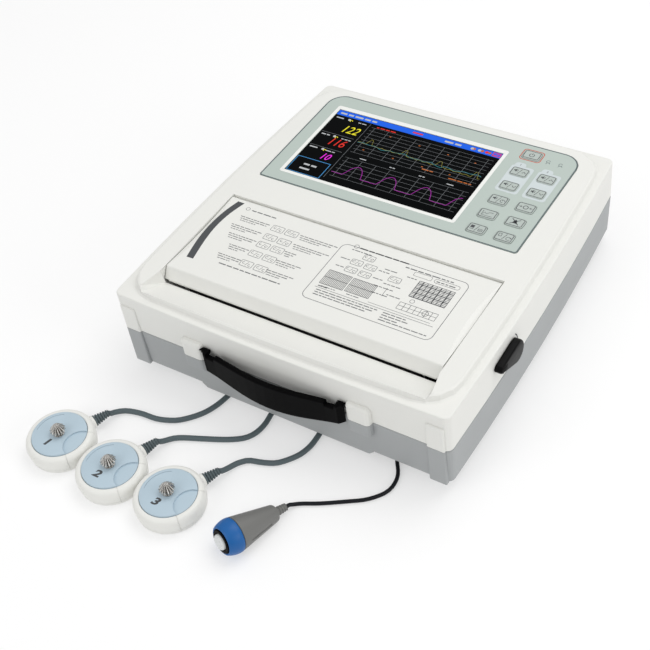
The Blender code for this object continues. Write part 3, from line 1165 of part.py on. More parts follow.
def make_panel():
    panel = new_object("control_panel", prism(panel_outline(0), PANEL_LOW_Z, PANEL_TOP_Z), panel_blue())
    cuts = [block(SCREEN_LEFT - GAP, SCREEN_RIGHT + GAP, SCREEN_FRONT - GAP, SCREEN_REAR + GAP,
                  PANEL_LOW_Z - CUT, PANEL_TOP_Z + CUT)]
    for _, x, y in key_places():
        cuts.append(block(x - KEY_WIDTH / 2 - GAP, x + KEY_WIDTH / 2 + GAP, y - KEY_DEPTH / 2 - GAP,
                          y + KEY_DEPTH / 2 + GAP, PANEL_LOW_Z - CUT, PANEL_TOP_Z + CUT,
                          KEY_ROUND + GAP, 3))
    boolean(panel, join(cuts))
    new_object("screen_window", block(SCREEN_LEFT, SCREEN_RIGHT, SCREEN_FRONT, SCREEN_REAR,
                                      PANEL_TOP_Z - SCREEN_SINK - SCREEN_THICK,
                                      PANEL_TOP_Z - SCREEN_SINK), screen_black())
    top = PANEL_LOW_Z - GAP
    margin = DISPLAY_MARGIN
    new_object("display_module", block(SCREEN_LEFT - margin, SCREEN_RIGHT + margin,
                                       SCREEN_FRONT - margin, SCREEN_REAR + margin,
                                       top - DISPLAY_THICK, top), steel())
    board_top = KEY_BOARD_TOP_Z
    new_object("keypad_board", block(BOARD_LEFT, BOARD_RIGHT, BOARD_FRONT, BOARD_REAR,
                                     board_top - BOARD_THICK, board_top, PANEL_FRONT_ROUND, 2),
               board_green())


def key_places():
    """Name and centre of every key: the power key, then the two columns row by row."""
    places = [("key_power", POWER_X, POWER_Y)]
    names = iter(range(1, len(KEY_ROWS) * len(KEY_COLUMNS) + 1))
    for y in KEY_ROWS:
        for x in KEY_COLUMNS:
            places.append(("key_%d" % next(names), x, y))
    return places


def make_keys():
    """Key caps with a retaining flange under the panel and a plunger over the board."""
    top = PANEL_TOP_Z + KEY_PROUD
    for name, x, y in key_places():
        w, d = KEY_WIDTH / 2, KEY_DEPTH / 2
        rings = []
        for grow, z in ((KEY_FLANGE, KEY_FLANGE_LOW_Z), (KEY_FLANGE, KEY_FLANGE_TOP_Z),
                        (0, KEY_FLANGE_TOP_Z), (0, top - KEY_CROWN), (-KEY_CROWN, top)):
            outline = rectangle(x - w - grow, x + w + grow, y - d - grow, y + d + grow,
                                KEY_ROUND + grow, 2)
            rings.append([(px, py, z) for px, py in outline])
        pivot = (x, y, KEY_FLANGE_LOW_Z)
        key = new_object(name, loft(rings), key_rubber(), pivot)
        boolean(key, rod(KEY_PLUNGER, (x, y, KEY_FLANGE_LOW_Z - KEY_PLUNGER),
                         (x, y, KEY_FLANGE_LOW_Z + KEY_FLANGE_THICK / 2), 8), "UNION")


def make_boards():
    """Main board with its chips, and the power module with its transformer and parts."""
    board = new_object("main_board", block(MAIN_LEFT, MAIN_RIGHT, MAIN_FRONT, MAIN_REAR, MAIN_Z,
                                           MAIN_Z + BOARD_THICK), board_green())
    width, depth = MAIN_RIGHT - MAIN_LEFT, MAIN_REAR - MAIN_FRONT
    chips = []
    for across, along, half_w, half_d in CHIP_SHARES:
        x, y = MAIN_LEFT + across * width, MAIN_FRONT + along * depth
        chips.append(block(x - half_w * width, x + half_w * width, y - half_d * depth,
                           y + half_d * depth, MAIN_Z + BOARD_THICK / 2,
                           MAIN_Z + BOARD_THICK + CHIP_HEIGHT))
    boolean(board, join(chips), "UNION")
    low = INNER_FLOOR_Z + GAP
    module = new_object("power_module", block(POWER_LEFT, POWER_RIGHT, POWER_FRONT, POWER_REAR, low,
                                              low + BOARD_THICK), board_green())
    width, depth = POWER_RIGHT - POWER_LEFT, POWER_REAR - POWER_FRONT
    parts = []
    for across, along, half_w, half_d, height in POWER_BLOCK_SHARES:
        x, y = POWER_LEFT + across * width, POWER_FRONT + along * depth
        parts.append(block(x - half_w * width, x + half_w * width, y - half_d * depth,
                           y + half_d * depth, low + BOARD_THICK / 2, low + height * POWER_HEIGHT))
    boolean(module, join(parts), "UNION")


def make_battery():
    """Battery pack of four cells in a wrap, and the cover plate under it."""
    low = BOTTOM_Z + COVER_PLATE + GAP
    outline = rectangle(BATTERY_LEFT, BATTERY_RIGHT, low, low + BATTERY_HEIGHT, BATTERY_ROUND)
    new_object("battery_pack", prism_y(outline, BATTERY_FRONT, BATTERY_REAR), marker_blue())
    seat = COVER_LEDGE - GAP
    new_object("battery_cover", block(BATTERY_LEFT - seat, BATTERY_RIGHT + seat, BATTERY_FRONT - seat,
                                      BATTERY_REAR + seat, BOTTOM_Z, BOTTOM_Z + COVER_PLATE),
               pale_grey())


def make_speaker():
    low = INNER_FLOOR_Z + GAP
    r, h = SPEAKER_RADIUS, SPEAKER_HEIGHT
    profile = [(0, h * 0.45), (r * 0.3, h * 0.4), (r * 0.85, h * 0.12), (r * 0.9, 0), (r, 0),
               (r, h * 0.2), (r * 0.55, h * 0.62), (r * 0.52, h), (0, h)]
    new_object("speaker", turned(profile, (SPEAKER_X, SPEAKER_Y, low)), black())


def make_inlet():
    """Mains inlet: a cup with three blades, flanged on the rear wall."""
    face = BODY_DEPTH + GAP + INLET_FLANGE_THICK
    w, h = INLET_HALF_WIDTH, INLET_HALF_HEIGHT
    inlet = new_object("power_inlet", block(INLET_X - w, INLET_X + w, face - INLET_DEPTH,
                                            face - INLET_FLANGE_THICK / 2, INLET_Z - h, INLET_Z + h),
                       black())
    f = INLET_FLANGE
    boolean(inlet, block(INLET_X - w - f, INLET_X + w + f, face - INLET_FLANGE_THICK, face,
                         INLET_Z - h - f, INLET_Z + h + f), "UNION")
    w, h = w - INLET_WALL, h - INLET_WALL
    boolean(inlet, block(INLET_X - w, INLET_X + w, face - INLET_CUP, face + CUT, INLET_Z - h,
                         INLET_Z + h))
    blades = []
    for k in (-1, 0, 1):
        x = INLET_X + k * INLET_BLADE_PITCH
        z = INLET_Z + (INLET_BLADE if k == 0 else -INLET_BLADE / 2)
        blades.append(block(x - INLET_BLADE_THICK / 2, x + INLET_BLADE_THICK / 2,
                            face - INLET_CUP - INLET_WALL / 2, face - INLET_FLANGE,
                            z - INLET_BLADE, z + INLET_BLADE))
    boolean(inlet, join(blades), "UNION")


def make_feet():
    top = BOTTOM_Z - GAP
    profile = [(0, 0), (FOOT_RADIUS - FOOT_TAPER * 2, 0), (FOOT_RADIUS - FOOT_TAPER, FOOT_TAPER),
               (FOOT_RADIUS, top), (FOOT_SPIGOT, top), (FOOT_SPIGOT, top + FOOT_SPIGOT_HEIGHT),
               (0, top + FOOT_SPIGOT_HEIGHT)]
    for number, (x, y) in enumerate(foot_places(), 1):
        new_object("foot_%d" % number, turned(profile, (x, y, 0), segments=MIDDLE), rubber())


def make_sockets():
    """Strip behind the bay that carries the four sockets through its rear wall."""
    low, high = SOCKET_Z - SOCKET_FLANGE, SOCKET_Z + SOCKET_FLANGE
    y = BAY_REAR + BAY_WALL + GAP
    left, right = PROBE_SOCKETS_X[0] - SOCKET_FLANGE, MARKER_SOCKET_X + SOCKET_FLANGE
    strip = new_object("socket_strip", block(left, right, y, y + SOCKET_BACK, low, high), black())
    front = BAY_REAR - SOCKET_PROUD
    boolean(strip, join([rod(SOCKET_RADIUS * share, (x, front, SOCKET_Z),
                             (x, y + SOCKET_BACK / 2, SOCKET_Z)) for x, share in sockets()]),
            "UNION")
    boolean(strip, join([rod(SOCKET_BORE * share, (x, front - CUT, SOCKET_Z),
                             (x, front + SOCKET_BORE_DEPTH * share, SOCKET_Z))
                         for x, share in sockets()]))


def plug_mesh(x, share):
    """Plug in its socket, with a ribbed neck towards the cord; gives the mesh and its end."""
    face = BAY_REAR - SOCKET_PROUD
    nose, body, neck = SOCKET_BORE * share - GAP, PLUG_RADIUS * share, PLUG_NECK * share
    length, tail = PLUG_LENGTH * share, PLUG_NECK_LENGTH
    profile = [(0, -PLUG_NOSE * share), (nose, -PLUG_NOSE * share), (nose, GAP), (body, GAP),
               (body, length - PLUG_RIB_DEPTH), (body - PLUG_RIB_DEPTH, length)]
    for k in range(PLUG_RIBS):
        start = length + tail * k / PLUG_RIBS
        deep = neck - PLUG_RIB_DEPTH
        profile += [(neck, start + tail / PLUG_RIBS * 0.2), (deep, start + tail / PLUG_RIBS * 0.8)]
    profile.append((0, profile[-1][1]))
    end = Vector((x, face - profile[-1][1], SOCKET_Z))
    return turned(profile, (x, face, SOCKET_Z), (0, -1, 0), MIDDLE), end


def make_plugs():
    """Plugs in their sockets; returns where each cord ends."""
    ends = []
    names = ("probe_plug_1", "probe_plug_2", "probe_plug_3", "marker_plug")
    for name, (x, share) in zip(names, sockets()):
        mesh, end = plug_mesh(x, share)
        new_object(name, mesh, rubber() if name == "marker_plug" else cord_grey())
        ends.append(end)
    return ends


def probe_direction(centre, aim):
    return Vector((aim[0] - centre[0], aim[1] - centre[1], 0)).normalized()


def make_probe(number, centre, aim):
    """One probe: shell, top plate with its stepped face; returns its boot's start and direction."""
    place = (*centre, 0)
    profile = [(0, SOLE_SINK), (SOLE_RADIUS, SOLE_SINK), (SOLE_RADIUS, 0)]
    profile += [(PROBE_RADIUS * r, PROBE_HEIGHT * h) for r, h in PROBE_PROFILE_SHARES]
    profile += [(PLATE_RADIUS + GAP, PROBE_HEIGHT - PLATE_ROUND), (PLATE_RADIUS + GAP, PLATE_SEAT_Z),
                (0, PLATE_SEAT_Z)]
    shell = new_object("probe_shell_%d" % number, turned(profile, place), white())
    out = probe_direction(centre, aim)
    base = Vector((*centre, BOOT_Z))
    boolean(shell, rod(NECK_RADIUS, base + out * (PROBE_RADIUS - NECK_RADIUS),
                       base + out * (BOOT_START - GAP)), "UNION")
    low = PLATE_SEAT_Z + GAP
    profile = [(0, low), (PLATE_RADIUS, low), (PLATE_RADIUS, PLATE_TOP_Z - PLATE_ROUND),
               (PLATE_RADIUS - PLATE_ROUND, PLATE_TOP_Z), (0, PLATE_TOP_Z)]
    plate = new_object("probe_plate_%d" % number, turned(profile, place), plate_blue())
    step = (centre[0] + PLATE_STEP_X, centre[1] + PLATE_STEP_Y)
    boolean(plate, join([rod(PLATE_STEP_RADIUS, (*step, PLATE_TOP_Z - PLATE_STEP),
                             (*step, PLATE_TOP_Z + CUT), FINE),
                         rod(KNOB_STEM + GAP, (*centre, 0), (*centre, PLATE_TOP_Z + CUT), COARSE)]))


def knob_mesh(centre):
    """Fluted double-cone belt knob with its stem through the plate."""
    rows = ((KNOB_STEM, PLATE_SEAT_Z + GAP * 2, 0), (KNOB_STEM, PLATE_TOP_Z + GAP, 0),
            (KNOB_SEAT, PLATE_TOP_Z + GAP, 0), (KNOB_SEAT * 0.86, PLATE_TOP_Z + GAP * 4, 1),
            (KNOB_WIDE, KNOB_WIDE_Z, 1), (KNOB_TIP, KNOB_TIP_Z, 1))
    count = KNOB_FLUTES * 2
    rings = []
    for radius, z, fluted in rows:
        ring = []
        for k in range(count):
            r = radius - KNOB_FLUTE_DEPTH * fluted * (k % 2) * radius / KNOB_WIDE
            angle = math.tau * k / count
            ring.append((centre[0] + r * math.cos(angle), centre[1] + r * math.sin(angle), z))
        rings.append(ring)
    return loft(rings)


def ribs(length, wide, slim):
    """Places and radii along a tapered, ribbed strain relief."""
    rows = []
    for k in range(BOOT_RIBS):
        for share, dip in RIB_SHARES:
            along = (k + share) / BOOT_RIBS
            rows.append((length * along, wide + (slim - wide) * along - dip * BOOT_RIB_DEPTH))
    return rows


def make_probes():
    """The three probes; returns where each cord starts and which way it leaves."""
    starts = []
    for number, (centre, aim) in enumerate(zip(PROBES, PROBE_AIMS), 1):
        make_probe(number, centre, aim)
        new_object("belt_button_%d" % number, knob_mesh(centre), steel())
        out = probe_direction(centre, aim)
        starts.append((Vector((*centre, BOOT_Z)) + out * BOOT_START, out))
    return starts


def make_marker():
    """Hand-held event marker; returns where its cord starts."""
    along = (MARKER_TO - MARKER_FROM).normalized()
    reach = (MARKER_TO - MARKER_FROM).length
    side = along.cross(Vector((0, 0, 1))).normalized()
    front, rear, floor = -COLLAR_FRONT, COLLAR_REAR, -COLLAR_FRONT + COLLAR_FLOOR
    chamber = floor + BUTTON_TRAVEL + BUTTON_FLANGE_THICK + GAP * 2
    profile = [(0, chamber), (BUTTON_FLANGE + GAP, chamber), (BUTTON_FLANGE + GAP, floor),
               (COLLAR_MOUTH, floor), (COLLAR_MOUTH, front), (COLLAR_FRONT_RADIUS, front),
               (COLLAR_FRONT_RADIUS * 0.55 + COLLAR_RADIUS * 0.45, front * 0.65),
               (COLLAR_RADIUS * 0.97, front * 0.25), (COLLAR_RADIUS, 0), (COLLAR_RADIUS, rear * 0.6),
               (GRIP_FRONT_RADIUS, rear), (0, rear)]
    new_object("marker_collar", turned(profile, MARKER_FROM, along), marker_blue())
    start = rear + GAP
    end = start + GRIP_LENGTH
    slim = GRIP_REAR_RADIUS
    profile = [(0, start), (GRIP_FRONT_RADIUS - GAP, start), (GRIP_FRONT_RADIUS, start + GAP),
               (slim + GRIP_SHOULDER * 0.2, end - GRIP_SHOULDER),
               (slim - GRIP_SHOULDER * 0.4, end - GRIP_SHOULDER * 0.3), (slim - GRIP_SHOULDER, end)]
    profile += [(r, end + s) for s, r in ribs(reach - end, STUB_FRONT, STUB_TIP)]
    profile += [(STUB_TIP, reach), (0, reach)]
    body = new_object("marker_body", turned(profile, MARKER_FROM, along), marker_grey())
    grooves = []
    for turn in (-1, 1):
        ends = []
        for s in (GROOVE_START, GROOVE_END):
            radius = GRIP_FRONT_RADIUS + (slim - GRIP_FRONT_RADIUS) * s / GRIP_LENGTH
            ends.append(MARKER_FROM + along * (start + s) + side * turn * (radius + GROOVE_HALF
                                                                           - GROOVE_DEPTH))
        grooves.append(rod(GROOVE_HALF, *ends, COARSE))
    boolean(body, join(grooves))
    back = floor - GAP
    profile = [(BEZEL_BORE, front - BEZEL_PROUD), (BEZEL_RADIUS, front - BEZEL_PROUD),
               (BEZEL_RADIUS, back), (BEZEL_BORE, back)]
    new_object("marker_bezel", ring_mesh(profile, MARKER_FROM, along), black())
    tip = front - BUTTON_PROUD
    profile = [(0, tip - BUTTON_CROWN * 0.3), (BUTTON_RADIUS * 0.6, tip), (BUTTON_RADIUS, tip
                                                                          + BUTTON_CROWN),
               (BUTTON_RADIUS, floor), (BUTTON_FLANGE, floor), (BUTTON_FLANGE, floor
                                                                + BUTTON_FLANGE_THICK),
               (0, floor + BUTTON_FLANGE_THICK)]
    new_object("marker_button", turned(profile, MARKER_FROM, along), white(), MARKER_FROM)
    return MARKER_TO + along * GAP, along


def ring_mesh(profile, place, axis, segments=FINE):
    """Turned ring whose profile closes on itself."""
    turn = Vector((0, 0, 1)).rotation_difference(Vector(axis)).to_matrix().to_4x4()
    matrix = Matrix.Translation(Vector(place)) @ turn
    rings = []
    for k in range(segments):
        angle = math.tau * k / segments
        rings.append([matrix @ Vector((r * math.cos(angle), r * math.sin(angle), h))
                      for r, h in profile])
    return loft(rings, closed=True)


def make_cords(starts, ends):
    """Cords from each boot over the floor, under the skirt and up to the plugs."""
    routes = (ROUTE_1, ROUTE_2, ROUTE_3, ROUTE_MARKER)
    names = ("probe_cord_1", "probe_cord_2", "probe_cord_3", "marker_cord")
    for name, (start, out), end, route in zip(names, starts, ends, routes):
        is_marker = name == "marker_cord"
        diameter = MARKER_CORD_DIAMETER if is_marker else CORD_DIAMETER
        relief = [] if is_marker else ribs(BOOT_LENGTH, BOOT_WIDE, BOOT_SLIM)
        reach = 0 if is_marker else BOOT_LENGTH
        lead = start + out * reach
        last = end - Vector((0, GAP, 0))
        points = [lead + out * diameter] + [Vector(p) * MM for p in route]
        points += [last - Vector((0, diameter, 0))]
        points = [lead] + smooth_route(points, diameter * CORD_STEP_SHARE) + [last]
        for p in points:
            p.z = max(p.z, diameter / 2 + FLOOR_CLEAR)
        radii = [r * 2 / diameter for _, r in relief] + [1] * len(points)
        points = [start + out * s for s, _ in relief] + points
        tube(name, points, radii, diameter, rubber() if is_marker else cord_grey())


def main():
    left, right = PROBES[0][0] - PROBE_RADIUS, LATCH_FACE
    front = PROBES[2][1] - PROBE_RADIUS
    rear = BODY_DEPTH + GAP + INLET_FLANGE_THICK
    UNIT.location = (-(left + right) / 2, -(front + rear) / 2, 0)
    make_top_cover()
    make_base_housing()
    make_handle()
    make_door()
    make_roller()
    make_pinion()
    make_head()
    make_paper()
    make_latch()
    make_panel()
    make_keys()
    make_boards()
    make_battery()
    make_speaker()
    make_inlet()
    make_feet()
    make_sockets()
    ends = make_plugs()
    starts = make_probes()
    starts.append(make_marker())
    make_cords(starts, ends)


clear_scene()
UNIT = bpy.data.objects.new("unit_frame", None)
bpy.context.scene.collection.objects.link(UNIT)
main()
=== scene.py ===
"""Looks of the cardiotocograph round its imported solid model."""

import math
import random

import bmesh
import bpy
from mathutils import Matrix, Vector


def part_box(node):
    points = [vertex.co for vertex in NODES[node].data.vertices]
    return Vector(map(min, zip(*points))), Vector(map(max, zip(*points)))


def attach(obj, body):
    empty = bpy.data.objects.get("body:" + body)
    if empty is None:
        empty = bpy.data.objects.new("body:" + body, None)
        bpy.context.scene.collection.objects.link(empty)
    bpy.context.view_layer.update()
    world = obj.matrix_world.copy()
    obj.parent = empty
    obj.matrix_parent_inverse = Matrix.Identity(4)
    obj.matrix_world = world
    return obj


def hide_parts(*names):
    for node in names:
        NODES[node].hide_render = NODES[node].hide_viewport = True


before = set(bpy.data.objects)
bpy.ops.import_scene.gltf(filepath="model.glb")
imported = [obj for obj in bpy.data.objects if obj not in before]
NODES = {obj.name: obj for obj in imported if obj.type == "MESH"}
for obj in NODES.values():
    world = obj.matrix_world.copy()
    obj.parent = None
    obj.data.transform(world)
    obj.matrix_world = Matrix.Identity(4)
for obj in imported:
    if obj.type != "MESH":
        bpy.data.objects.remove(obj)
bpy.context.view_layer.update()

# Lengths are millimetres and places are in the unit's own frame, unless a comment says otherwise
PER_METRE = 1000
SHIFT = Vector((9.2, -85.7, 0))   # from the unit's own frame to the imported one
DECK_Z, PANEL_Z, CAP_Z, GLASS_Z = 86.5, 86.8, 87.6, 86.5
INK, ROOT = 0.03, 0.02            # height of a print over its surface, and its depth in it
SCREEN_LEFT, SCREEN_RIGHT, SCREEN_FRONT, SCREEN_REAR = -99.9, 54.1, 174.1, 261.8
KEY_COLUMNS = (76.2, 99.3)
KEY_ROWS = (245.5, 227.1, 208.6, 190.5, 172.0)
POWER_KEY = (76.2, 268.4)
PROBES = ((-141.6, -93.3), (-87.3, -99.3), (-32.7, -99.5))
PROBE_AIMS = ((-128.5, -61.0), (-76.0, -65.4), (-17.4, -66.4))
MARKER_FROM, MARKER_TO = Vector((28.4, -109.0, 13.5)), Vector((44.1, -65.2, 4.4))
UP = (0, 0, 1)


def place(x, y, z):
    """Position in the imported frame, in metres, of a point in the unit's own."""
    return (Vector((x, y, z)) + SHIFT) / PER_METRE


def added(name, data):
    """A new object in the scene."""
    obj = bpy.data.objects.new(name, data)
    bpy.context.scene.collection.objects.link(obj)
    return obj


def add_nodes(tree, kinds):
    return [tree.nodes.new(kind) for kind in kinds]


def set_inputs(node, values):
    for name, value in values.items():
        node.inputs[name].default_value = value


def principled(name):
    """A new material and its Principled BSDF."""
    mat = bpy.data.materials.new(name)
    mat.use_nodes = True
    return mat, mat.node_tree.nodes["Principled BSDF"]


# Camera, light and floor

CAMERA_AT = (423.5, -461.1, 721.6)
CAMERA_RIGHT = Vector((0.8425, 0.5259, -0.1165))
CAMERA_DOWN = Vector((0.3069, -0.6464, -0.6986))
CAMERA_LENS, SENSOR_WIDTH = 69.9, 36
CLIP_END = 20                     # metres, as are the lights' and the floor's sizes
LIGHTS = (                        # name, place, aim, size and power
    ("key", (0.35, 0.75, 1.6), (0, 0, 0), 1.4, 10.5),
    ("right", (1.7, -0.1, 0.8), (0, 0, 0.05), 1.0, 6),
    ("front", (-0.6, -1.5, 1.0), (0, 0, 0.03), 1.2, 6),
)
HORIZON, AMBIENT = 0.36, 0.74     # strength of the surroundings at eye level and overhead
RISE_START, RISE_END = 0.05, 0.75  # slopes of the view between which that strength grows
PURE_WHITE = (1, 1, 1, 1)
FLOOR_HALF, FLOOR_DROP = 4, 0.0002
FLOOR_GREY, FLOOR_GLOW = 0.52, 0.455


def add_camera():
    data = bpy.data.cameras.new("camera")
    data.lens, data.sensor_width, data.clip_end = CAMERA_LENS, SENSOR_WIDTH, CLIP_END
    right = CAMERA_RIGHT.normalized()
    up = (-CAMERA_DOWN - right * right.dot(-CAMERA_DOWN)).normalized()
    turn = Matrix((right, up, right.cross(up))).transposed().to_4x4()
    camera = added("camera", data)
    camera.matrix_world = Matrix.Translation(place(*CAMERA_AT)) @ turn
    bpy.context.scene.camera = camera


def area_light(name, at, aim, size, power):
    data = bpy.data.lights.new(name, "AREA")
    data.shape, data.size, data.energy = "DISK", size, power
    light = added(name, data)
    light.location = at
    light.rotation_euler = (Vector(aim) - Vector(at)).to_track_quat("-Z", "Y").to_euler()


def set_world():
    """Soft surroundings that grow brighter overhead, and plain white where the camera sees past."""
    world = bpy.data.worlds.new("studio")
    bpy.context.scene.world = world
    world.use_nodes = True
    tree = world.node_tree
    tree.nodes.clear()
    path, seen, coord, axes, height, soft, white, mix, out = add_nodes(tree, (
        "ShaderNodeLightPath", "ShaderNodeMath", "ShaderNodeTexCoord", "ShaderNodeSeparateXYZ",
        "ShaderNodeMapRange", "ShaderNodeBackground", "ShaderNodeBackground", "ShaderNodeMixShader",
        "ShaderNodeOutputWorld"))
    seen.operation = "MAXIMUM"
    set_inputs(height, {"From Min": RISE_START, "From Max": RISE_END, "To Min": HORIZON, "To Max": AMBIENT})
    set_inputs(soft, {"Color": PURE_WHITE})
    set_inputs(white, {"Color": PURE_WHITE, "Strength": 1})
    link = tree.links.new
    link(path.outputs["Is Camera Ray"], seen.inputs[0])
    link(path.outputs["Is Transmission Ray"], seen.inputs[1])
    link(coord.outputs["Generated"], axes.inputs[0])
    link(axes.outputs["Z"], height.inputs["Value"])
    link(height.outputs["Result"], soft.inputs["Strength"])
    link(seen.outputs[0], mix.inputs[0])
    link(soft.outputs[0], mix.inputs[1])
    link(white.outputs[0], mix.inputs[2])
    link(mix.outputs[0], out.inputs["Surface"])


def add_floor():
    mesh = bpy.data.meshes.new("floor")
    corners = ((-1, -1), (1, -1), (1, 1), (-1, 1))
    mesh.from_pydata([(x * FLOOR_HALF, y * FLOOR_HALF, 0) for x, y in corners], [], [(0, 1, 2, 3)])
    floor = added("floor", mesh)
    floor.location.z = -FLOOR_DROP
    mat, shader = principled("floor")
    set_inputs(shader, {"Base Color": (FLOOR_GREY, FLOOR_GREY, FLOOR_GREY, 1), "Emission Color": PURE_WHITE,
                        "Emission Strength": FLOOR_GLOW, "Roughness": 0.9, "Specular IOR Level": 0.1})
    mesh.materials.append(mat)


def set_stage():
    view = bpy.context.scene.view_settings
    view.view_transform, view.look = "Standard", "None"
    add_camera()
    set_world()
    for light in LIGHTS:
        area_light(*light)
    add_floor()


# Materials

BROAD_DETAIL, FINE_DETAIL = 4, 2  # octaves of the two noises
GRAIN_DEPTH = 0.0002              # metres
EDGE_SAMPLES = 4
DRIFT_SCALE = 25


def grain_group():
    """Shared moulded surface: faint colour drift, fine texture and softened edges."""
    group = bpy.data.node_groups.new("moulded_grain", "ShaderNodeTree")
    for name, kind, value in (("Color", "Color", PURE_WHITE), ("Drift Color", "Color", PURE_WHITE),
                              ("Drift Scale", "Float", DRIFT_SCALE), ("Grain Scale", "Float", 2200),
                              ("Grain", "Float", 0.1), ("Roughness", "Float", 0.5),
                              ("Roughness Drift", "Float", 0.1), ("Edge Radius", "Float", 0.0004)):
        socket = group.interface.new_socket(name, in_out="INPUT", socket_type="NodeSocket" + kind)
        socket.default_value = value
    for name, kind in (("Color", "Color"), ("Roughness", "Float"), ("Normal", "Vector")):
        group.interface.new_socket(name, in_out="OUTPUT", socket_type="NodeSocket" + kind)
    given, result, coord, broad, fine, mix, span, level, edge, bump = add_nodes(group, (
        "NodeGroupInput", "NodeGroupOutput", "ShaderNodeTexCoord", "ShaderNodeTexNoise",
        "ShaderNodeTexNoise", "ShaderNodeMix", "ShaderNodeMath", "ShaderNodeMath", "ShaderNodeBevel",
        "ShaderNodeBump"))
    link = group.links.new
    mix.data_type = "RGBA"
    span.operation, level.operation = "MULTIPLY", "ADD"
    broad.inputs["Detail"].default_value = BROAD_DETAIL
    fine.inputs["Detail"].default_value = FINE_DETAIL
    for noise, scale in ((broad, "Drift Scale"), (fine, "Grain Scale")):
        link(coord.outputs["Object"], noise.inputs["Vector"])
        link(given.outputs[scale], noise.inputs["Scale"])
    link(broad.outputs["Fac"], mix.inputs["Factor"])
    link(given.outputs["Color"], mix.inputs["A"])
    link(given.outputs["Drift Color"], mix.inputs["B"])
    link(broad.outputs["Fac"], span.inputs[0])
    link(given.outputs["Roughness Drift"], span.inputs[1])
    link(span.outputs[0], level.inputs[0])
    link(given.outputs["Roughness"], level.inputs[1])
    edge.samples = EDGE_SAMPLES
    link(given.outputs["Edge Radius"], edge.inputs["Radius"])
    bump.inputs["Distance"].default_value = GRAIN_DEPTH
    link(given.outputs["Grain"], bump.inputs["Strength"])
    link(fine.outputs["Fac"], bump.inputs["Height"])
    link(edge.outputs["Normal"], bump.inputs["Normal"])
    link(mix.outputs["Result"], result.inputs["Color"])
    link(level.outputs[0], result.inputs["Roughness"])
    link(bump.outputs["Normal"], result.inputs["Normal"])
    return group


GRAIN = grain_group()


def moulded(name, rgb, drift, rough, grain=0.1, scale=2200, metallic=0.0, edge=0.4, gloss=0.5):
    """Principled material on the shared grain; drift is the colour's share at its darkest."""
    mat, shader = principled(name)
    tree = mat.node_tree
    node = tree.nodes.new("ShaderNodeGroup")
    node.node_tree = GRAIN
    set_inputs(node, {"Color": (*rgb, 1), "Drift Color": (*(c * drift for c in rgb), 1),
                      "Drift Scale": DRIFT_SCALE, "Grain Scale": scale, "Grain": grain, "Roughness": rough,
                      "Edge Radius": edge / PER_METRE})
    set_inputs(shader, {"Metallic": metallic, "Specular IOR Level": gloss})
    for source, target in (("Color", "Base Color"), ("Roughness", "Roughness"), ("Normal", "Normal")):
        tree.links.new(node.outputs[source], shader.inputs[target])
    return mat


def glow(name, rgb, strength=1.0):
    """A lit part of the screen."""
    mat, shader = principled(name)
    set_inputs(shader, {"Base Color": (0.01, 0.01, 0.01, 1), "Roughness": 0.25, "Specular IOR Level": 0.1,
                        "Emission Color": (*rgb, 1), "Emission Strength": strength})
    return mat


WHITE = moulded("white_shell", (0.80, 0.80, 0.765), 0.965, 0.42, 0.06)
GREY = moulded("grey_shell", (0.37, 0.385, 0.39), 0.95, 0.45, 0.08)
LEVER = moulded("lever_black", (0.003, 0.003, 0.0033), 0.8, 0.35, 0.1, gloss=0.08)
BLACK = moulded("black_plastic", (0.0015, 0.0015, 0.0017), 0.8, 0.42, 0.15, gloss=0.04)
STEEL = moulded("steel", (0.6, 0.585, 0.56), 0.8, 0.12, 0.03, 900, 1.0, 0.1)
DULL_STEEL = moulded("dull_steel", (0.45, 0.45, 0.44), 0.85, 0.4, 0.1, 900, 1.0, 0.2)
PANEL = moulded("panel", (0.47, 0.54, 0.50), 0.97, 0.38, 0.04, 3000)
PLATE_PRINT = moulded("key_plate", (0.60, 0.66, 0.67), 0.98, 0.4, 0.04, 3000)
KEYCAP = moulded("key_rubber", (0.45, 0.505, 0.475), 0.97, 0.5, 0.08, 3000)
BEZEL_PRINT = moulded("screen_border", (0.84, 0.85, 0.82), 0.98, 0.4, 0.04, 3000)
# Dark print; the same material also paints the shade of the slit beside the latch lever
INK_DARK_AND_SHADE = moulded("ink_dark_and_painted_shade", (0.06, 0.065, 0.07), 0.9, 0.5, 0.0, edge=0)
INK_SOFT = moulded("ink_soft", (0.16, 0.165, 0.17), 0.9, 0.5, 0.0, edge=0)
INK_RED = moulded("ink_red", (0.52, 0.09, 0.05), 0.95, 0.5, 0.0, edge=0)
OUTLINE = moulded("panel_outline", (0.09, 0.12, 0.13), 0.95, 0.45, 0.0, edge=0)
SCREEN = moulded("screen_glass", (0.001, 0.0014, 0.0018), 0.9, 0.12, 0.0, gloss=0.03)
RUBBER = moulded("dark_rubber", (0.035, 0.036, 0.038), 0.8, 0.65, 0.2, 1500)
FOOT = moulded("foot_rubber", (0.06, 0.06, 0.062), 0.8, 0.75, 0.25, 1500)
CORD = moulded("cord_grey", (0.095, 0.125, 0.135), 0.85, 0.5, 0.12, 1800, gloss=0.35)
BLACK_CORD = moulded("cord_black", (0.006, 0.007, 0.01), 0.8, 0.4, 0.1, 1800, gloss=0.2)
PLATE = moulded("plate_blue", (0.46, 0.575, 0.655), 0.97, 0.42, 0.08, 2600)
BLUE = moulded("marker_blue", (0.006, 0.11, 0.36), 0.92, 0.35, 0.06, gloss=0.35)
MARKER_GREY = moulded("marker_grey", (0.165, 0.165, 0.158), 0.93, 0.42, 0.12, 1600)
BUTTON = moulded("button_white", (0.70, 0.72, 0.72), 0.96, 0.4, 0.05)
BOARD = moulded("board", (0.015, 0.13, 0.06), 0.85, 0.35, 0.1, 900)
CELL = moulded("battery_wrap", (0.02, 0.05, 0.16), 0.9, 0.35, 0.05)
PAPER = moulded("paper", (0.80, 0.79, 0.74), 0.97, 0.85, 0.15, 1200)


# Mesh helpers

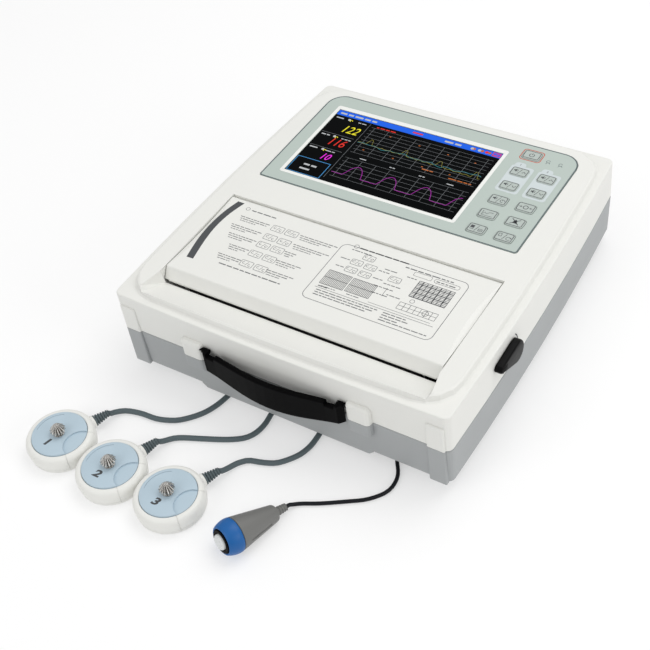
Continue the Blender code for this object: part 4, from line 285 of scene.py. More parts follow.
def piece(name, mesh, mat, body, replaced=(), smooth=30):
    """Link a bmesh made in the unit's frame as a piece that rides on a body."""
    bmesh.ops.recalc_face_normals(mesh, faces=mesh.faces)
    data = bpy.data.meshes.new(name)
    mesh.to_mesh(data)
    mesh.free()
    data.transform(Matrix.Scale(1 / PER_METRE, 4) @ Matrix.Translation(SHIFT))
    data.materials.append(mat)
    data.shade_smooth()
    data.set_sharp_from_angle(angle=math.radians(smooth))
    obj = added(name, data)
    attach(obj, body)
    if replaced:
        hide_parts(*replaced)
    return obj


def bridge(mesh, rings, closed=False):
    """Skin between rings of equal counts, with capped ends or closed on itself."""
    rows = [[mesh.verts.new(p) for p in ring] for ring in rings]
    pairs = list(zip(rows, rows[1:])) + ([(rows[-1], rows[0])] if closed else [])
    for low, high in pairs:
        for i in range(len(low)):
            j = (i + 1) % len(low)
            mesh.faces.new((low[i], low[j], high[j], high[i]))
    if not closed:
        mesh.faces.new(rows[0][::-1])
        mesh.faces.new(rows[-1])


def slab(mesh, points, low, high, axis=2):
    """Closed prism over an outline; axis 0 stands it on a wall that faces X."""
    if axis == 2:
        bridge(mesh, [[(x, y, z) for x, y in points] for z in (low, high)])
    else:
        bridge(mesh, [[(x, y, z) for y, z in points] for x in (low, high)])


def block(mesh, x0, x1, y0, y1, low, high):
    slab(mesh, [(x0, y0), (x1, y0), (x1, y1), (x0, y1)], low, high)


def band(mesh, outer, inner, low, high, closed=False, axis=2):
    """Prisms between two lines of equal counts."""
    count = len(outer)
    for i in range(count if closed else count - 1):
        j = (i + 1) % count
        slab(mesh, [outer[i], outer[j], inner[j], inner[i]], low, high, axis)


def rounded(x0, x1, y0, y1, radius, steps=5):
    """Rectangle with round corners, from the one at its right rear."""
    points = []
    for cx, cy, start in ((x1 - radius, y1 - radius, 0), (x0 + radius, y1 - radius, 90),
                          (x0 + radius, y0 + radius, 180), (x1 - radius, y0 + radius, 270)):
        for k in range(steps + 1):
            angle = math.radians(start + 90 * k / steps)
            points.append((cx + radius * math.cos(angle), cy + radius * math.sin(angle)))
    return points


def around(x, y, half_x, half_y, radius, steps=5):
    """Rectangle with round corners round its middle."""
    return rounded(x - half_x, x + half_x, y - half_y, y + half_y, radius, steps)


def area_of(points):
    """Area of an outline, below zero where it runs clockwise."""
    return sum(a[0] * b[1] - b[0] * a[1] for a, b in zip(points, points[1:] + points[:1])) / 2


def frame_line(mesh, outline, width, low, high):
    """Line of a given width along the inside of a closed outline."""
    count = len(outline)
    inner = []
    for i in range(count):
        a, b, c = (Vector(outline[k % count]) for k in (i - 1, i, i + 1))
        one, two = (b - a).normalized(), (c - b).normalized()
        normal = Vector((-(one.y + two.y), one.x + two.x)).normalized()
        inner.append(tuple(b + normal * width))
    if abs(area_of(inner)) > abs(area_of(outline)):
        inner = [tuple(2 * Vector(o) - Vector(i)) for o, i in zip(outline, inner)]
    band(mesh, outline, inner, low, high, closed=True)


def stroke(mesh, points, width, low, high):
    """Line through open points, mitred where it turns."""
    points = [Vector(p) for p in points]
    left, right = [], []
    for i, p in enumerate(points):
        before = (p - points[i - 1]).normalized() if i else (points[1] - p).normalized()
        after = (points[i + 1] - p).normalized() if i + 1 < len(points) else before
        along = before + after
        along = along.normalized() if along.length > 1e-6 else before
        side = Vector((-along.y, along.x)) * width / 2
        left.append(tuple(p + side))
        right.append(tuple(p - side))
    band(mesh, left, right, low, high)


def arc(cx, cy, radius, start, end, steps=12):
    """Points on an arc between two angles in degrees."""
    return [(cx + radius * math.cos(math.radians(start + (end - start) * k / steps)),
             cy + radius * math.sin(math.radians(start + (end - start) * k / steps)))
            for k in range(steps + 1)]


def lathe(mesh, profile, at, axis, segments=96, shape=None, closed=False):
    """Turned surface of (radius, height) points; shape(radius, height, angle) may change a radius."""
    turn = Vector((0, 0, 1)).rotation_difference(Vector(axis)).to_matrix().to_4x4()
    matrix = Matrix.Translation(Vector(at)) @ turn
    rings = []
    for radius, height in profile:
        ring = []
        for k in range(segments):
            angle = math.tau * k / segments
            r = shape(radius, height, angle) if shape else radius
            ring.append(matrix @ Vector((r * math.cos(angle), r * math.sin(angle), height)))
        rings.append(ring)
    bridge(mesh, rings, closed)


def curve_profile(points, steps=5):
    """Smooth curve through profile points."""
    points = [Vector(p) for p in points]
    out = []
    for i in range(len(points) - 1):
        p0, p1, p2 = points[max(i - 1, 0)], points[i], points[i + 1]
        p3 = points[min(i + 2, len(points) - 1)]
        for k in range(steps):
            t = k / steps
            out.append((2 * p1 + (p2 - p0) * t + (2 * p0 - 5 * p1 + 4 * p2 - p3) * t * t
                        + (3 * p1 - p0 - 3 * p2 + p3) * t ** 3) / 2)
    out.append(points[-1])
    return [tuple(p) for p in out]


WORD_HEIGHT, WORD_GAP = 0.62, 0.55   # shares of the line's size
WORD_LENGTHS = (1.2, 4.2)            # shortest and longest word, in line sizes


def words(mesh, rng, x, y, length, size, low, high):
    """A line of print too small to read, as short generic dashes."""
    end = x + length
    while x < end - size:
        step = min(rng.uniform(*WORD_LENGTHS) * size, end - x)
        block(mesh, x, x + step, y, y + size * WORD_HEIGHT, low, high)
        x += step + size * WORD_GAP


FONT_SIZE, FIGURE_DEPTH = 1.4, 0.01  # font size for a figure's height of 1, and the figures' thickness


def numeral(name, text, x, y, height, z, mat, body, slot, shear=0.0, squeeze=1.0, bold=0.0):
    """Plain upright figures laid flat, as a mesh."""
    data = bpy.data.curves.new(name, "FONT")
    data.body, data.size, data.shear = text, height * FONT_SIZE / PER_METRE, shear
    data.extrude, data.offset, data.resolution_u = FIGURE_DEPTH / PER_METRE, bold / PER_METRE, 3
    data.align_x = "CENTER"
    figures = added(name + "_text", data)
    bpy.context.view_layer.update()
    mesh = bpy.data.meshes.new_from_object(figures)
    bpy.data.objects.remove(figures)
    mesh.transform(Matrix.Translation(place(x, y, z)) @ Matrix.Diagonal((squeeze, 1, 1, 1)))
    mesh.name = name
    mesh.materials.clear()
    mesh.materials.append(mat)
    obj = added(name, mesh)
    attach(obj, body)
    return obj


def levels_on(surface, rise=INK):
    """Lowest and highest level of a print on a surface."""
    return surface - ROOT, surface + rise


# Nodes of the solid model that keep their own shape

NODE_SMOOTH = 28
FINISHES = (
    (WHITE, "top_cover", "printer_door"),
    (GREY, "base_housing", "battery_cover"),
    (LEVER, "latch_lever"),
    (BLACK, "carry_handle", "thermal_head", "platen_gear", "power_inlet", "speaker", "socket_strip",
     "marker_bezel"),
    (CELL, "battery_pack"),
    (DULL_STEEL, "display_module", "head_spring", "stepper_motor"),
    (STEEL, "motor_pinion", "latch_hook"),
    (PANEL, "control_panel"),
    (SCREEN, "screen_window"),
    (KEYCAP, "key_power", *("key_%d" % k for k in range(1, 11))),
    (BOARD, "keypad_board", "main_board", "power_module"),
    (FOOT, *("foot_%d" % k for k in range(1, 5))),
    (RUBBER, "platen_roller", "marker_plug"),
    (CORD, *("probe_plug_%d" % k for k in range(1, 4))),
    (PLATE, *("probe_plate_%d" % k for k in range(1, 4))),
    (PAPER, "paper_pack"),
    (BUTTON, "marker_button"),
)


def dress_nodes():
    """Give each of these nodes its finish and smooth faces."""
    for mat, *names in FINISHES:
        for name in names:
            data = NODES[name].data
            data.materials.clear()
            data.materials.append(mat)
            data.shade_smooth()
            data.set_sharp_from_angle(angle=math.radians(NODE_SMOOTH))


# Keys: their signs are drawn in offsets from the key's middle

KEY_KINDS = ("up", "up", "down", "down", "both", "zero", "chart", "bell", "run", "page")
SIGN_LINE, SIGN_BOLD = 0.42, 0.6
KEY_EDGE = (6.75, 4.55)
KEY_CORNER, KEY_EDGE_LINE = 1.5, 0.55
POWER_RADIUS, POWER_DROP = 2.0, 0.3


def power_sign(mesh, x, y, low, high):
    """Open ring with an upright line in its gap."""
    stroke(mesh, arc(x, y, POWER_RADIUS, 125, 415, 14), KEY_EDGE_LINE, low, high)
    stroke(mesh, [(x, y + POWER_RADIUS * 0.25), (x, y + POWER_RADIUS * 1.25)], KEY_EDGE_LINE, low, high)


def key_sign(mesh, kind, x, y, low, high):
    """Generic pictogram on a key: two small signs parted by a slash, or one sign."""
    def moved(points):
        return [(x + a, y + b) for a, b in points]

    def line(*points, width=SIGN_LINE):
        stroke(mesh, moved(points), width, low, high)

    def ring(a, b, radius, start, end, steps, width=SIGN_LINE):
        stroke(mesh, arc(x + a, y + b, radius, start, end, steps), width, low, high)

    def solid(*points):
        slab(mesh, moved(points), low, high)

    def frame_sign(x0, x1, y0, y1, radius):
        frame_line(mesh, rounded(x + x0, x + x1, y + y0, y + y1, radius, 2), SIGN_LINE, low, high)

    if kind in ("up", "down", "both", "run", "page"):
        line((-0.9, -3.2), (1.1, 3.2))
    if kind in ("up", "down", "both"):
        solid((-4.9, 0.2), (-3.9, 0.2), (-2.6, -1.0), (-2.6, 2.8), (-3.9, 1.6), (-4.9, 1.6))
        ring(-3.1, 0.9, 1.5, -50, 50, 6)
    if kind == "up":
        line((2.3, -0.9), (3.9, 0.9), (5.4, -0.9), width=SIGN_BOLD)
    elif kind == "down":
        line((2.3, 0.9), (3.9, -0.9), (5.4, 0.9), width=SIGN_BOLD)
    elif kind == "both":
        ring(3.6, -0.6, 1.7, 0, 300, 12)
        line((3.6, -0.6), (3.6, 0.9))
    elif kind == "zero":
        ring(0, 0, 1.9, 0, 360, 20, SIGN_BOLD)
        for side in (-1, 1):
            line((side * 5.6, 0), (side * 3.2, 0))
            line((side * 4.3, 0.9), (side * 3.2, 0), (side * 4.3, -0.9))
    elif kind == "chart":
        line((-4.4, 2.8), (-4.4, -2.6), (4.6, -2.6))
        line((-4.2, -1.6), (-2.6, 0.9), (-0.9, -0.6), (1.1, 1.7), (4.2, 1.9))
    elif kind == "bell":
        solid((-2.3, -1.9), (2.3, -1.9), (1.5, -0.7), (1.2, 1.4), (0, 2.4), (-1.2, 1.4), (-1.5, -0.7))
        line((-3.4, -2.9), (3.4, 3), width=SIGN_BOLD)
        line((-3.4, 3), (3.4, -2.9), width=SIGN_BOLD)
    elif kind == "run":
        solid((-5.2, -0.4), (-2.2, -0.4), (-2.2, 2.6), (-5.2, 2.6))
        line((-5.4, -1.6), (-1.8, -1.6))
        frame_sign(1.7, 5.2, -2.6, 0.3, 0.5)
        line((2.3, -1.2), (4.6, -1.2))
    elif kind == "page":
        frame_sign(-5.2, -2.4, -0.6, 2.8, 0.4)
        ring(3.6, -1, 1.7, 30, 330, 12)
        solid((4.4, -0.4), (6, -0.4), (5.2, 0.9))


def make_key_prints():
    low, high = levels_on(CAP_Z)
    places = [("power", POWER_KEY)]
    places += [(k + 1, (KEY_COLUMNS[k % 2], KEY_ROWS[k // 2])) for k in range(len(KEY_KINDS))]
    for name, (x, y) in places:
        mesh = bmesh.new()
        frame_line(mesh, around(x, y, *KEY_EDGE, KEY_CORNER, 4), KEY_EDGE_LINE, low, high)
        if name == "power":
            power_sign(mesh, x, y - POWER_DROP, low, high)
        else:
            key_sign(mesh, KEY_KINDS[name - 1], x, y, low, high)
        piece("key_print_%s" % name, mesh, INK_DARK_AND_SHADE, "cap_%s" % name, smooth=0)


# Panel

PANEL_EDGE = (-115.5, 115, 159.6, 280.8)      # left, right, front and rear
REAR_CORNER, FRONT_CORNER, PANEL_LINE = 15, 2.6, 0.95
LAMPS_X, LAMP_RADIUS, LAMP_LINE = (91.1, 101.5), 1.5, 0.4
LAMP_Y, LAMP_TAIL_Y, LAMP_TAIL_SHIFT = 266.6, 263.9, 0.6
BORDER_EDGE, BORDER_CORNER = (-103.5, 57.5, 170.7, 266.6), 2.2
GLASS_GAP, GLASS_CORNER = 0.3, 0.05
PLATE_HALF, PLATE_FRONT, PLATE_REAR, PLATE_CORNER = 9.6, 219.6, 253.4, 2.6
TAB_LEFT, TAB_RIGHT, TAB_FRONT, TAB_REAR, TAB_CORNER, TAB_LIFT = -8, 1.5, 250, 257.3, 3, 0.004
NUMBER_SHIFT, NUMBER_Y, NUMBER_SIZE, NUMBER_LIFT = -3.3, 253.7, 2.1, 0.05
POWER_FRAME, POWER_CORNER, POWER_LINE = (9.1, 6.9), 2.8, 0.75


def make_panel_edge(low, high):
    """Line round the panel, with large corners at the rear, and the marks beside the power key."""
    mesh = bmesh.new()
    rear, front = rounded(*PANEL_EDGE, REAR_CORNER, 10), rounded(*PANEL_EDGE, FRONT_CORNER)
    middle = (PANEL_EDGE[2] + PANEL_EDGE[3]) / 2
    outline = rear[:len(rear) // 2] + [p for p in front if p[1] < middle]
    frame_line(mesh, outline, PANEL_LINE, low, high)
    for x in LAMPS_X:
        stroke(mesh, arc(x, LAMP_Y, LAMP_RADIUS, 20, 340, 12), LAMP_LINE, low, high)
        stroke(mesh, arc(x + LAMP_TAIL_SHIFT, LAMP_TAIL_Y, LAMP_RADIUS, 10, 200, 9), LAMP_LINE, low, high)
    piece("panel_print", mesh, OUTLINE, "unit", smooth=0)


def make_screen_border(low, high):
    mesh = bmesh.new()
    inner = rounded(SCREEN_LEFT - GLASS_GAP, SCREEN_RIGHT + GLASS_GAP, SCREEN_FRONT - GLASS_GAP,
                    SCREEN_REAR + GLASS_GAP, GLASS_CORNER, 4)
    band(mesh, rounded(*BORDER_EDGE, BORDER_CORNER, 4), inner, low, high, closed=True)
    piece("screen_border", mesh, BEZEL_PRINT, "unit", smooth=0)


def make_panel_prints():
    low, high = levels_on(PANEL_Z)
    make_panel_edge(low, high)
    make_screen_border(low, high)
    mesh = bmesh.new()
    for x in KEY_COLUMNS:
        slab(mesh, rounded(x - PLATE_HALF, x + PLATE_HALF, PLATE_FRONT, PLATE_REAR, PLATE_CORNER), low, high)
        tab = rounded(x + TAB_LEFT, x + TAB_RIGHT, TAB_FRONT, TAB_REAR, TAB_CORNER)
        slab(mesh, tab, low, high + TAB_LIFT)
    piece("key_plates", mesh, PLATE_PRINT, "unit", smooth=0)
    for k, x in enumerate(KEY_COLUMNS):
        numeral("plate_number_%d" % (k + 1), str(k + 1), x + NUMBER_SHIFT, NUMBER_Y, NUMBER_SIZE,
                PANEL_Z + NUMBER_LIFT, INK_DARK_AND_SHADE, "unit", "panel")
    mesh = bmesh.new()
    frame_line(mesh, around(*POWER_KEY, *POWER_FRAME, POWER_CORNER), POWER_LINE, low, high)
    piece("power_outline", mesh, INK_RED, "unit", smooth=0)


# Screen picture, in offsets from the lit area's front left corner

SCREEN_COLOURS = {
    "grid": (0.16, 0.17, 0.18), "teal": (0.02, 0.22, 0.26), "olive": (0.26, 0.24, 0.03),
    "magenta": (0.34, 0.01, 0.34), "red": (0.75, 0.02, 0.01), "orange": (0.5, 0.13, 0.02),
    "white": (0.5, 0.52, 0.53), "box": (0.06, 0.3, 0.65), "yellow": (0.85, 0.78, 0.02),
    "pink": (0.9, 0.02, 0.8),
}
HEADER_BLUE, HEADER_STRENGTH, HEADER_EDGE = (0.0, 0.12, 0.85), 0.95, (0.2, 153.8, 81.2, 87.5)
HEADER_WORDS = (("white", 3, 83.2, 40, 3.2), ("white", 103, 83.2, 15, 3.2), ("red", 73, 83.6, 13, 2.6))
DOT_T, DOT_RADIUS = 84.4, 1.5
DOTS = ((128, "white"), (129.5, "orange"), (134.5, "white"), (137, "orange"), (141, "red"),
        (143.5, "orange"))
RED_SIGN = (((146.6, 82.4), (153, 82.4)), ((146.6, 86.6), (153, 86.6)), ((146.6, 82.2), (146.6, 86.8)),
            ((153, 82.2), (153, 86.8)), ((147.6, 83), (152, 86)))
COLUMN_LINES = (((1, 56.5), (32, 56.5)), ((1, 37.5), (32, 37.5)), ((35, 4), (35, 80)))
READING_TITLES = ((77.2, 30), (52.8, 28), (34.2, 24))   # height and right-hand end
BOX_EDGE, BOX_LINE = (0.8, 32, 0.8, 20), 0.55
BOX_WORDS = (("white", 11, 11.5, 12, 3), ("white", 10, 6, 13, 3))
GRID_LEFT, GRID_RIGHT, COLUMN_LEFT, COLUMN_STEP = 38, 151, 41, 13.2
UPPER_GRID, LOWER_GRID = (41.5, 76.5, 8), (8.5, 33.5, 5)   # bottom, top and number of steps
GRID_COLUMN_LINE, GRID_ROW_LINE = 0.28, 0.22
TRACE_LEFT, TRACE_STEP, TRACE_COUNT = 37, 1.93, 60
TEAL_LEVEL, OLIVE_LEVEL, TRACE_DIP, TRACE_JUMP, TRACE_FALL = 54.5, 55.5, 2.2, 6.5, 0.06
HUMP_STEP, HUMP_COUNT, HUMP_PERIOD, HUMP_LEVEL, HUMP_HEIGHT, HUMP_NOISE = 1.43, 80, 22, 13, 13, 0.2
HUMP_START, HUMP_END = 0.35, 0.85                      # shares of its period in which a hump lasts
GRID_WORDS_S = (50, 78, 105, 130)
LAST_WORDS = (("orange", 103, 44.5, 10, 1.7), ("orange", 128, 42.5, 20, 1.7), ("red", 42, 77.6, 18, 1.8))
READINGS = (("upper", "122", 23, 61.5, 9.5, "yellow"), ("middle", "116", 21, 42.5, 9.5, "red"),
            ("lower", "10", 22, 23.5, 8, "pink"))
GLASS_INK, LINE_LIFT = 0.02, 0.004
HEADER_LIFT, SIGN_LIFT, READING_LIFT = 0.01, 0.012, 0.01


def on_screen(s, t):
    return SCREEN_LEFT + s, SCREEN_FRONT + t


def traces():
    """The two heart traces, the second with jumps."""
    steady, falling = [], []
    for k in range(TRACE_COUNT):
        s = TRACE_LEFT + k * TRACE_STEP
        beat = math.sin(k * 0.9) * 0.6 + math.sin(k * 0.37) * 0.9
        steady.append((s, TEAL_LEVEL + beat - (TRACE_DIP if 36 < k < 42 else 0)))
        jump = TRACE_JUMP if k % 17 in (5, 6) else 0
        falling.append((s, OLIVE_LEVEL + math.sin(k * 1.7) * 0.5 + jump - TRACE_FALL * k))
    return steady, falling


def labour_trace(rng):
    """Curve of the contractions: flat stretches, rounded humps and a little noise."""
    points = []
    for k in range(HUMP_COUNT):
        phase = (k % HUMP_PERIOD) / HUMP_PERIOD
        rise = 0
        if HUMP_START < phase < HUMP_END:
            rise = HUMP_HEIGHT * math.sin(math.pi * (phase - HUMP_START) / (HUMP_END - HUMP_START)) ** 0.6
        points.append((TRACE_LEFT + k * HUMP_STEP, HUMP_LEVEL + rise + rng.uniform(-HUMP_NOISE, HUMP_NOISE)))
    return points


def make_screen():
    """Picture on the screen: header, column of readings, two grids and their curves."""
    low, high = levels_on(GLASS_Z, GLASS_INK)
    header = (high - HEADER_LIFT, high + HEADER_LIFT)
    sign = (high - HEADER_LIFT, high + SIGN_LIFT)
    lit = {"header": glow("screen_blue", HEADER_BLUE, HEADER_STRENGTH)}
    lit.update({key: glow("screen_" + key, rgb) for key, rgb in SCREEN_COLOURS.items()})
    mesh = {key: bmesh.new() for key in lit}
    rng = random.Random(4)

    def line(key, points, width, levels=(low, high + LINE_LIFT)):
        stroke(mesh[key], [on_screen(*p) for p in points], width, *levels)

    def text(key, s, t, length, size, levels=(low, high)):
        words(mesh[key], rng, *on_screen(s, t), length, size, *levels)

    left, right, front, rear = HEADER_EDGE
    (x0, y0), (x1, y1) = on_screen(left, front), on_screen(right, rear)
    block(mesh["header"], x0, x1, y0, y1, low, high)
    for row in HEADER_WORDS:
        text(*row, header)
    for s, key in DOTS:
        slab(mesh[key], arc(*on_screen(s, DOT_T), DOT_RADIUS, 0, 330, 11), *sign)
    for points in RED_SIGN:
        line("red", points, 0.7, sign)
    for points in COLUMN_LINES:
        line("grid", points, 0.3)
    for t, end in READING_TITLES:
        text("white", 2.5, t, 8, 2)
        text("white", end - 6, t, 9, 1.5)
        slab(mesh["white"], arc(*on_screen(15, t + 1), 1.3, 0, 330, 9), low, high)
        stroke(mesh["yellow"], arc(*on_screen(17.4, t), 1.1, 0, 240, 7), 0.6, low, high)
    left, right, front, rear = BOX_EDGE
    corners = ((left, front), (right, front), (right, rear), (left, rear))
    for points in zip(corners, corners[1:] + corners[:1]):
        line("box", points, BOX_LINE)
    for row in BOX_WORDS:
        text(*row)
    for k in range(9):
        s = COLUMN_LEFT + k * COLUMN_STEP
        for base, top, _ in (UPPER_GRID, LOWER_GRID):
            line("grid", [(s, base), (s, top)], GRID_COLUMN_LINE)
    for base, top, steps in (UPPER_GRID, LOWER_GRID):
        for k in range(steps + 1):
            t = base + (top - base) * k / steps
            line("grid", [(GRID_LEFT, t), (GRID_RIGHT, t)], GRID_ROW_LINE)
    steady, falling = traces()
    line("teal", steady, 0.45)
    line("olive", falling, 0.4)
    line("magenta", labour_trace(rng), 0.5)
    for k, s in enumerate(GRID_WORDS_S):
        text("white", s, 36, 6, 1.5)
        text("orange", s + 8, 71 - k, 1.6, 1.3)
        text("orange", s - 4, 47, 1.6, 1.3)
    for row in LAST_WORDS:
        text(*row)
    drawn = {key: part for key, part in mesh.items() if part.faces}
    for key, part in drawn.items():
        piece("screen_" + key, part, lit[key], "unit", smooth=0)
    for name, figures, s, t, size, key in READINGS:
        numeral("reading_" + name, figures, *on_screen(s, t), size, GLASS_Z + READING_LIFT, lit[key], "unit",
                "screen", shear=0.25, squeeze=0.82)


# Door print: captions and pictures of a quick guide, as places, lengths and line sizes

GUIDE_FRAME, GUIDE_CORNER, FRAME_LINE = (-8, 100.2, 53.8, 117.2), 5.5, 0.5
SMALL_RINGS = ((-99, 119.6, 1.7, 16, 0.35), (3.2, 117.4, 1.9, 16, 0.4), (70, 83.5, 1.8, 14, 0.4),
               (84.5, 76.5, 2.4, 14, 0.5))             # place, radius, steps and line
THIN_LINES = (((47, 88), (47, 79), 0.4), ((-3, 67.3), (95.5, 67.3), 0.4), ((41, 69.6), (92, 69.6), 0.35))
TITLE_WORDS, CORNER_WORDS = (-95, 118.7, 23, 1.7), (76, 108.6, 17, 1.6)
CAPTION_ROWS = (                                       # height, then start and length at either side
    (109.0, (-99.5, 29), (-43.5, 35)), (98.2, (-101, 30), (-42.7, 32)), (88.6, (-97, 26), (-44.5, 11)),
    (77.6, (-89, 20), (-45, 22)), (65.6, (-91, 23), (-46, 24)),
)
CAPTION_LINES = ((0, 0.9, 1, 1.25), (1, -1.3, 0.85, 1.25), (2, -3.4, 0.5, 1.1))   # indent, rise, share, size
ICON_COLUMNS = (-63.6, -50.6)
LONE_WORDS = ((-84, 57.2, 56, 1.7), (6.5, 116.4, 44, 2), (1.5, 113, 17, 1.3), (48, 112.6, 40, 1.7))
GUIDE_ICONS = ((18.6, 110), (12.4, 102), (24.4, 101.6), (12.4, 93.4), (24.4, 93.2), (47.5, 97.8))
ICON_NOTES = ((-2, 102, 8), (-1, 93.2, 7), (31.5, 101.4, 9), (31.5, 93, 8), (35, 104.5, 12), (54, 104.2, 8),
              (41.5, 91, 14), (36, 86.5, 16), (38, 79.5, 13), (49.5, 81.5, 12))
STRIPS = ((-2, 17.6, 71.8, 87.1), (19.4, 39.3, 72.3, 86.8))
CHART, SMALL_CHART = (64.8, 94, 87.6, 104.6), (62.5, 93.5, 72.6, 79.8)
TABS = ((57, 72, 107.6, 112, 1.2, 0.35), (74, 95, 107.2, 111.6, 2, 0.4))
FOOT_NOTES = ((-1.5, 68.6, 8, 1.6), (-0.5, 64.6, 52, 1.4), (-0.5, 62.2, 50, 1.4), (-0.5, 59.8, 46, 1.4),
              (56.5, 64.6, 20, 1.4), (56.5, 62.2, 22, 1.4), (56.5, 59.6, 14, 1.4), (56.5, 57.2, 41, 1.4))
STRIPE_OUTER = ((-111.3, 52.7), (-115.0, 71.4), (-116.6, 90), (-115.2, 109), (-111.8, 124))
STRIPE_INNER = ((-105.2, 53.0), (-109.2, 74.1), (-110.8, 92), (-109.4, 109), (-105.6, 124))


def icon(mesh, rng, x, y, low, high, half_x=5.6, half_y=3.3):
    """Small key with a slash between two open rings."""
    frame_line(mesh, around(x, y, half_x, half_y, 1.2, 3), 0.42, low, high)
    stroke(mesh, [(x - 0.8, y - half_y * 0.6), (x + 0.8, y + half_y * 0.6)], 0.4, low, high)
    for side in (-1, 1):
        ring = arc(x + side * 2.8, y - side * 0.6, 1.1, rng.uniform(0, 90), 330, 8)
        stroke(mesh, ring, 0.4, low, high)


def ruled(mesh, area, columns, rows, low, high):
    """Ruled area of print; columns and rows hold the width of each line."""
    x0, x1, y0, y1 = area
    for k, width in enumerate(rows):
        y = y0 + (y1 - y0) * k / (len(rows) - 1)
        stroke(mesh, [(x0, y), (x1, y)], width, low, high)
    for k, width in enumerate(columns):
        x = x0 + (x1 - x0) * k / (len(columns) - 1)
        stroke(mesh, [(x, y0), (x, y1)], width, low, high)


def draw_guide_lines(mesh, low, high):
    frame_line(mesh, rounded(*GUIDE_FRAME, GUIDE_CORNER), FRAME_LINE, low, high)
    for x, y, radius, steps, width in SMALL_RINGS:
        stroke(mesh, arc(x, y, radius, 0, 360, steps), width, low, high)
    ruled(mesh, SMALL_CHART, (0.4,) * 8, (0.4,) * 3, low, high)
    for start, end, width in THIN_LINES:
        stroke(mesh, [start, end], width, low, high)


def draw_guide_words(mesh, low, high):
    rng = random.Random(11)

    def text(x, y, length, size):
        words(mesh, rng, x, y, length, size, low, high)

    text(*TITLE_WORDS)
    for y, *sides in CAPTION_ROWS:
        for x in ICON_COLUMNS:
            icon(mesh, rng, x, y, low, high)
        for start, length in sides:
            for indent, rise, share, size in CAPTION_LINES:
                text(start + indent, y + rise, length * share, size)
    for row in LONE_WORDS:
        text(*row)
    for x, y in GUIDE_ICONS:
        icon(mesh, rng, x, y, low, high, 5, 3)
    for x, y, length in ICON_NOTES:
        text(x, y, length, 1.3)
    for strip in STRIPS:
        ruled(mesh, strip, (0.55,) * 17, (0.5,) * 3, low, high)
        text(strip[0] + 3, strip[2] - 2.6, 12, 1.2)
    ruled(mesh, CHART, (0.5, 0.9) * 4 + (0.5,), (1.1, 0.6, 0.6) * 4, low, high)
    for x0, x1, y0, y1, radius, width in TABS:
        frame_line(mesh, rounded(x0, x1, y0, y1, radius, 3), width, low, high)
    text(*CORNER_WORDS)
    for row in FOOT_NOTES:
        text(*row)


def make_door_prints():
    low, high = levels_on(DECK_Z)
    soft, dark, stripe = bmesh.new(), bmesh.new(), bmesh.new()
    draw_guide_lines(soft, low, high)
    draw_guide_words(dark, low, high)
    band(stripe, curve_profile(STRIPE_INNER, 4), curve_profile(STRIPE_OUTER, 4), low, high)
    piece("door_lines", soft, INK_SOFT, "door", smooth=0)
    piece("door_words", dark, INK_SOFT, "door", smooth=0)
    piece("door_stripe", stripe, INK_DARK_AND_SHADE, "door", smooth=0)


# Repeats with Geometry Nodes, and cuts

def line_repeater():
    """Node tree that repeats a mesh along a straight line and gives it its material."""
    tree = bpy.data.node_groups.new("repeat_on_line", "GeometryNodeTree")
    face = tree.interface
    face.new_socket("Geometry", in_out="INPUT", socket_type="NodeSocketGeometry")
    for name, kind in (("Count", "Int"), ("Offset", "Vector"), ("Material", "Material")):
        face.new_socket(name, in_out="INPUT", socket_type="NodeSocket" + kind)
    face.new_socket("Geometry", in_out="OUTPUT", socket_type="NodeSocketGeometry")
    given, row, copies, solid, paint, result = add_nodes(tree, (
        "NodeGroupInput", "GeometryNodeMeshLine", "GeometryNodeInstanceOnPoints",
        "GeometryNodeRealizeInstances", "GeometryNodeSetMaterial", "NodeGroupOutput"))
    link = tree.links.new
    link(given.outputs["Count"], row.inputs["Count"])
    link(given.outputs["Offset"], row.inputs["Offset"])
    link(row.outputs["Mesh"], copies.inputs["Points"])
    link(given.outputs["Geometry"], copies.inputs["Instance"])
    link(copies.outputs["Instances"], solid.inputs["Geometry"])
    link(solid.outputs["Geometry"], paint.inputs["Geometry"])
    link(given.outputs["Material"], paint.inputs["Material"])
    link(paint.outputs["Geometry"], result.inputs["Geometry"])
    return tree


def solved(obj):
    """Mesh of an object with its modifiers worked in; the object itself is removed."""
    bpy.context.view_layer.update()
    data = bpy.data.meshes.new_from_object(obj.evaluated_get(bpy.context.evaluated_depsgraph_get()))
    bpy.data.objects.remove(obj)
    return data


def scratch_object(mesh):
    data = bpy.data.meshes.new("scratch")
    mesh.to_mesh(data)
    mesh.free()
    return added("scratch", data)


def repeated(mesh, element, count, step, mat):
    """Add a row of one small shape to a mesh."""
    obj = scratch_object(element)
    mod = obj.modifiers.new("row", "NODES")
    mod.node_group = REPEATER
    values = {"Count": count, "Offset": step, "Material": mat}
    for item in REPEATER.interface.items_tree:
        if item.in_out == "INPUT" and item.name in values:
            mod[item.identifier] = values[item.name]
    mesh.from_mesh(solved(obj))


def less(mesh, cutter):
    """The mesh with another one cut out of it."""
    for part in (mesh, cutter):
        bmesh.ops.recalc_face_normals(part, faces=part.faces)
    obj, tool = scratch_object(mesh), scratch_object(cutter)
    mod = obj.modifiers.new("cut", "BOOLEAN")
    mod.operation, mod.solver, mod.object = "DIFFERENCE", "EXACT", tool
    out = bmesh.new()
    out.from_mesh(solved(obj))
    bpy.data.objects.remove(tool)
    return out


# Probes: profiles are pairs of radius and height, and all start and end at the pin-sized core

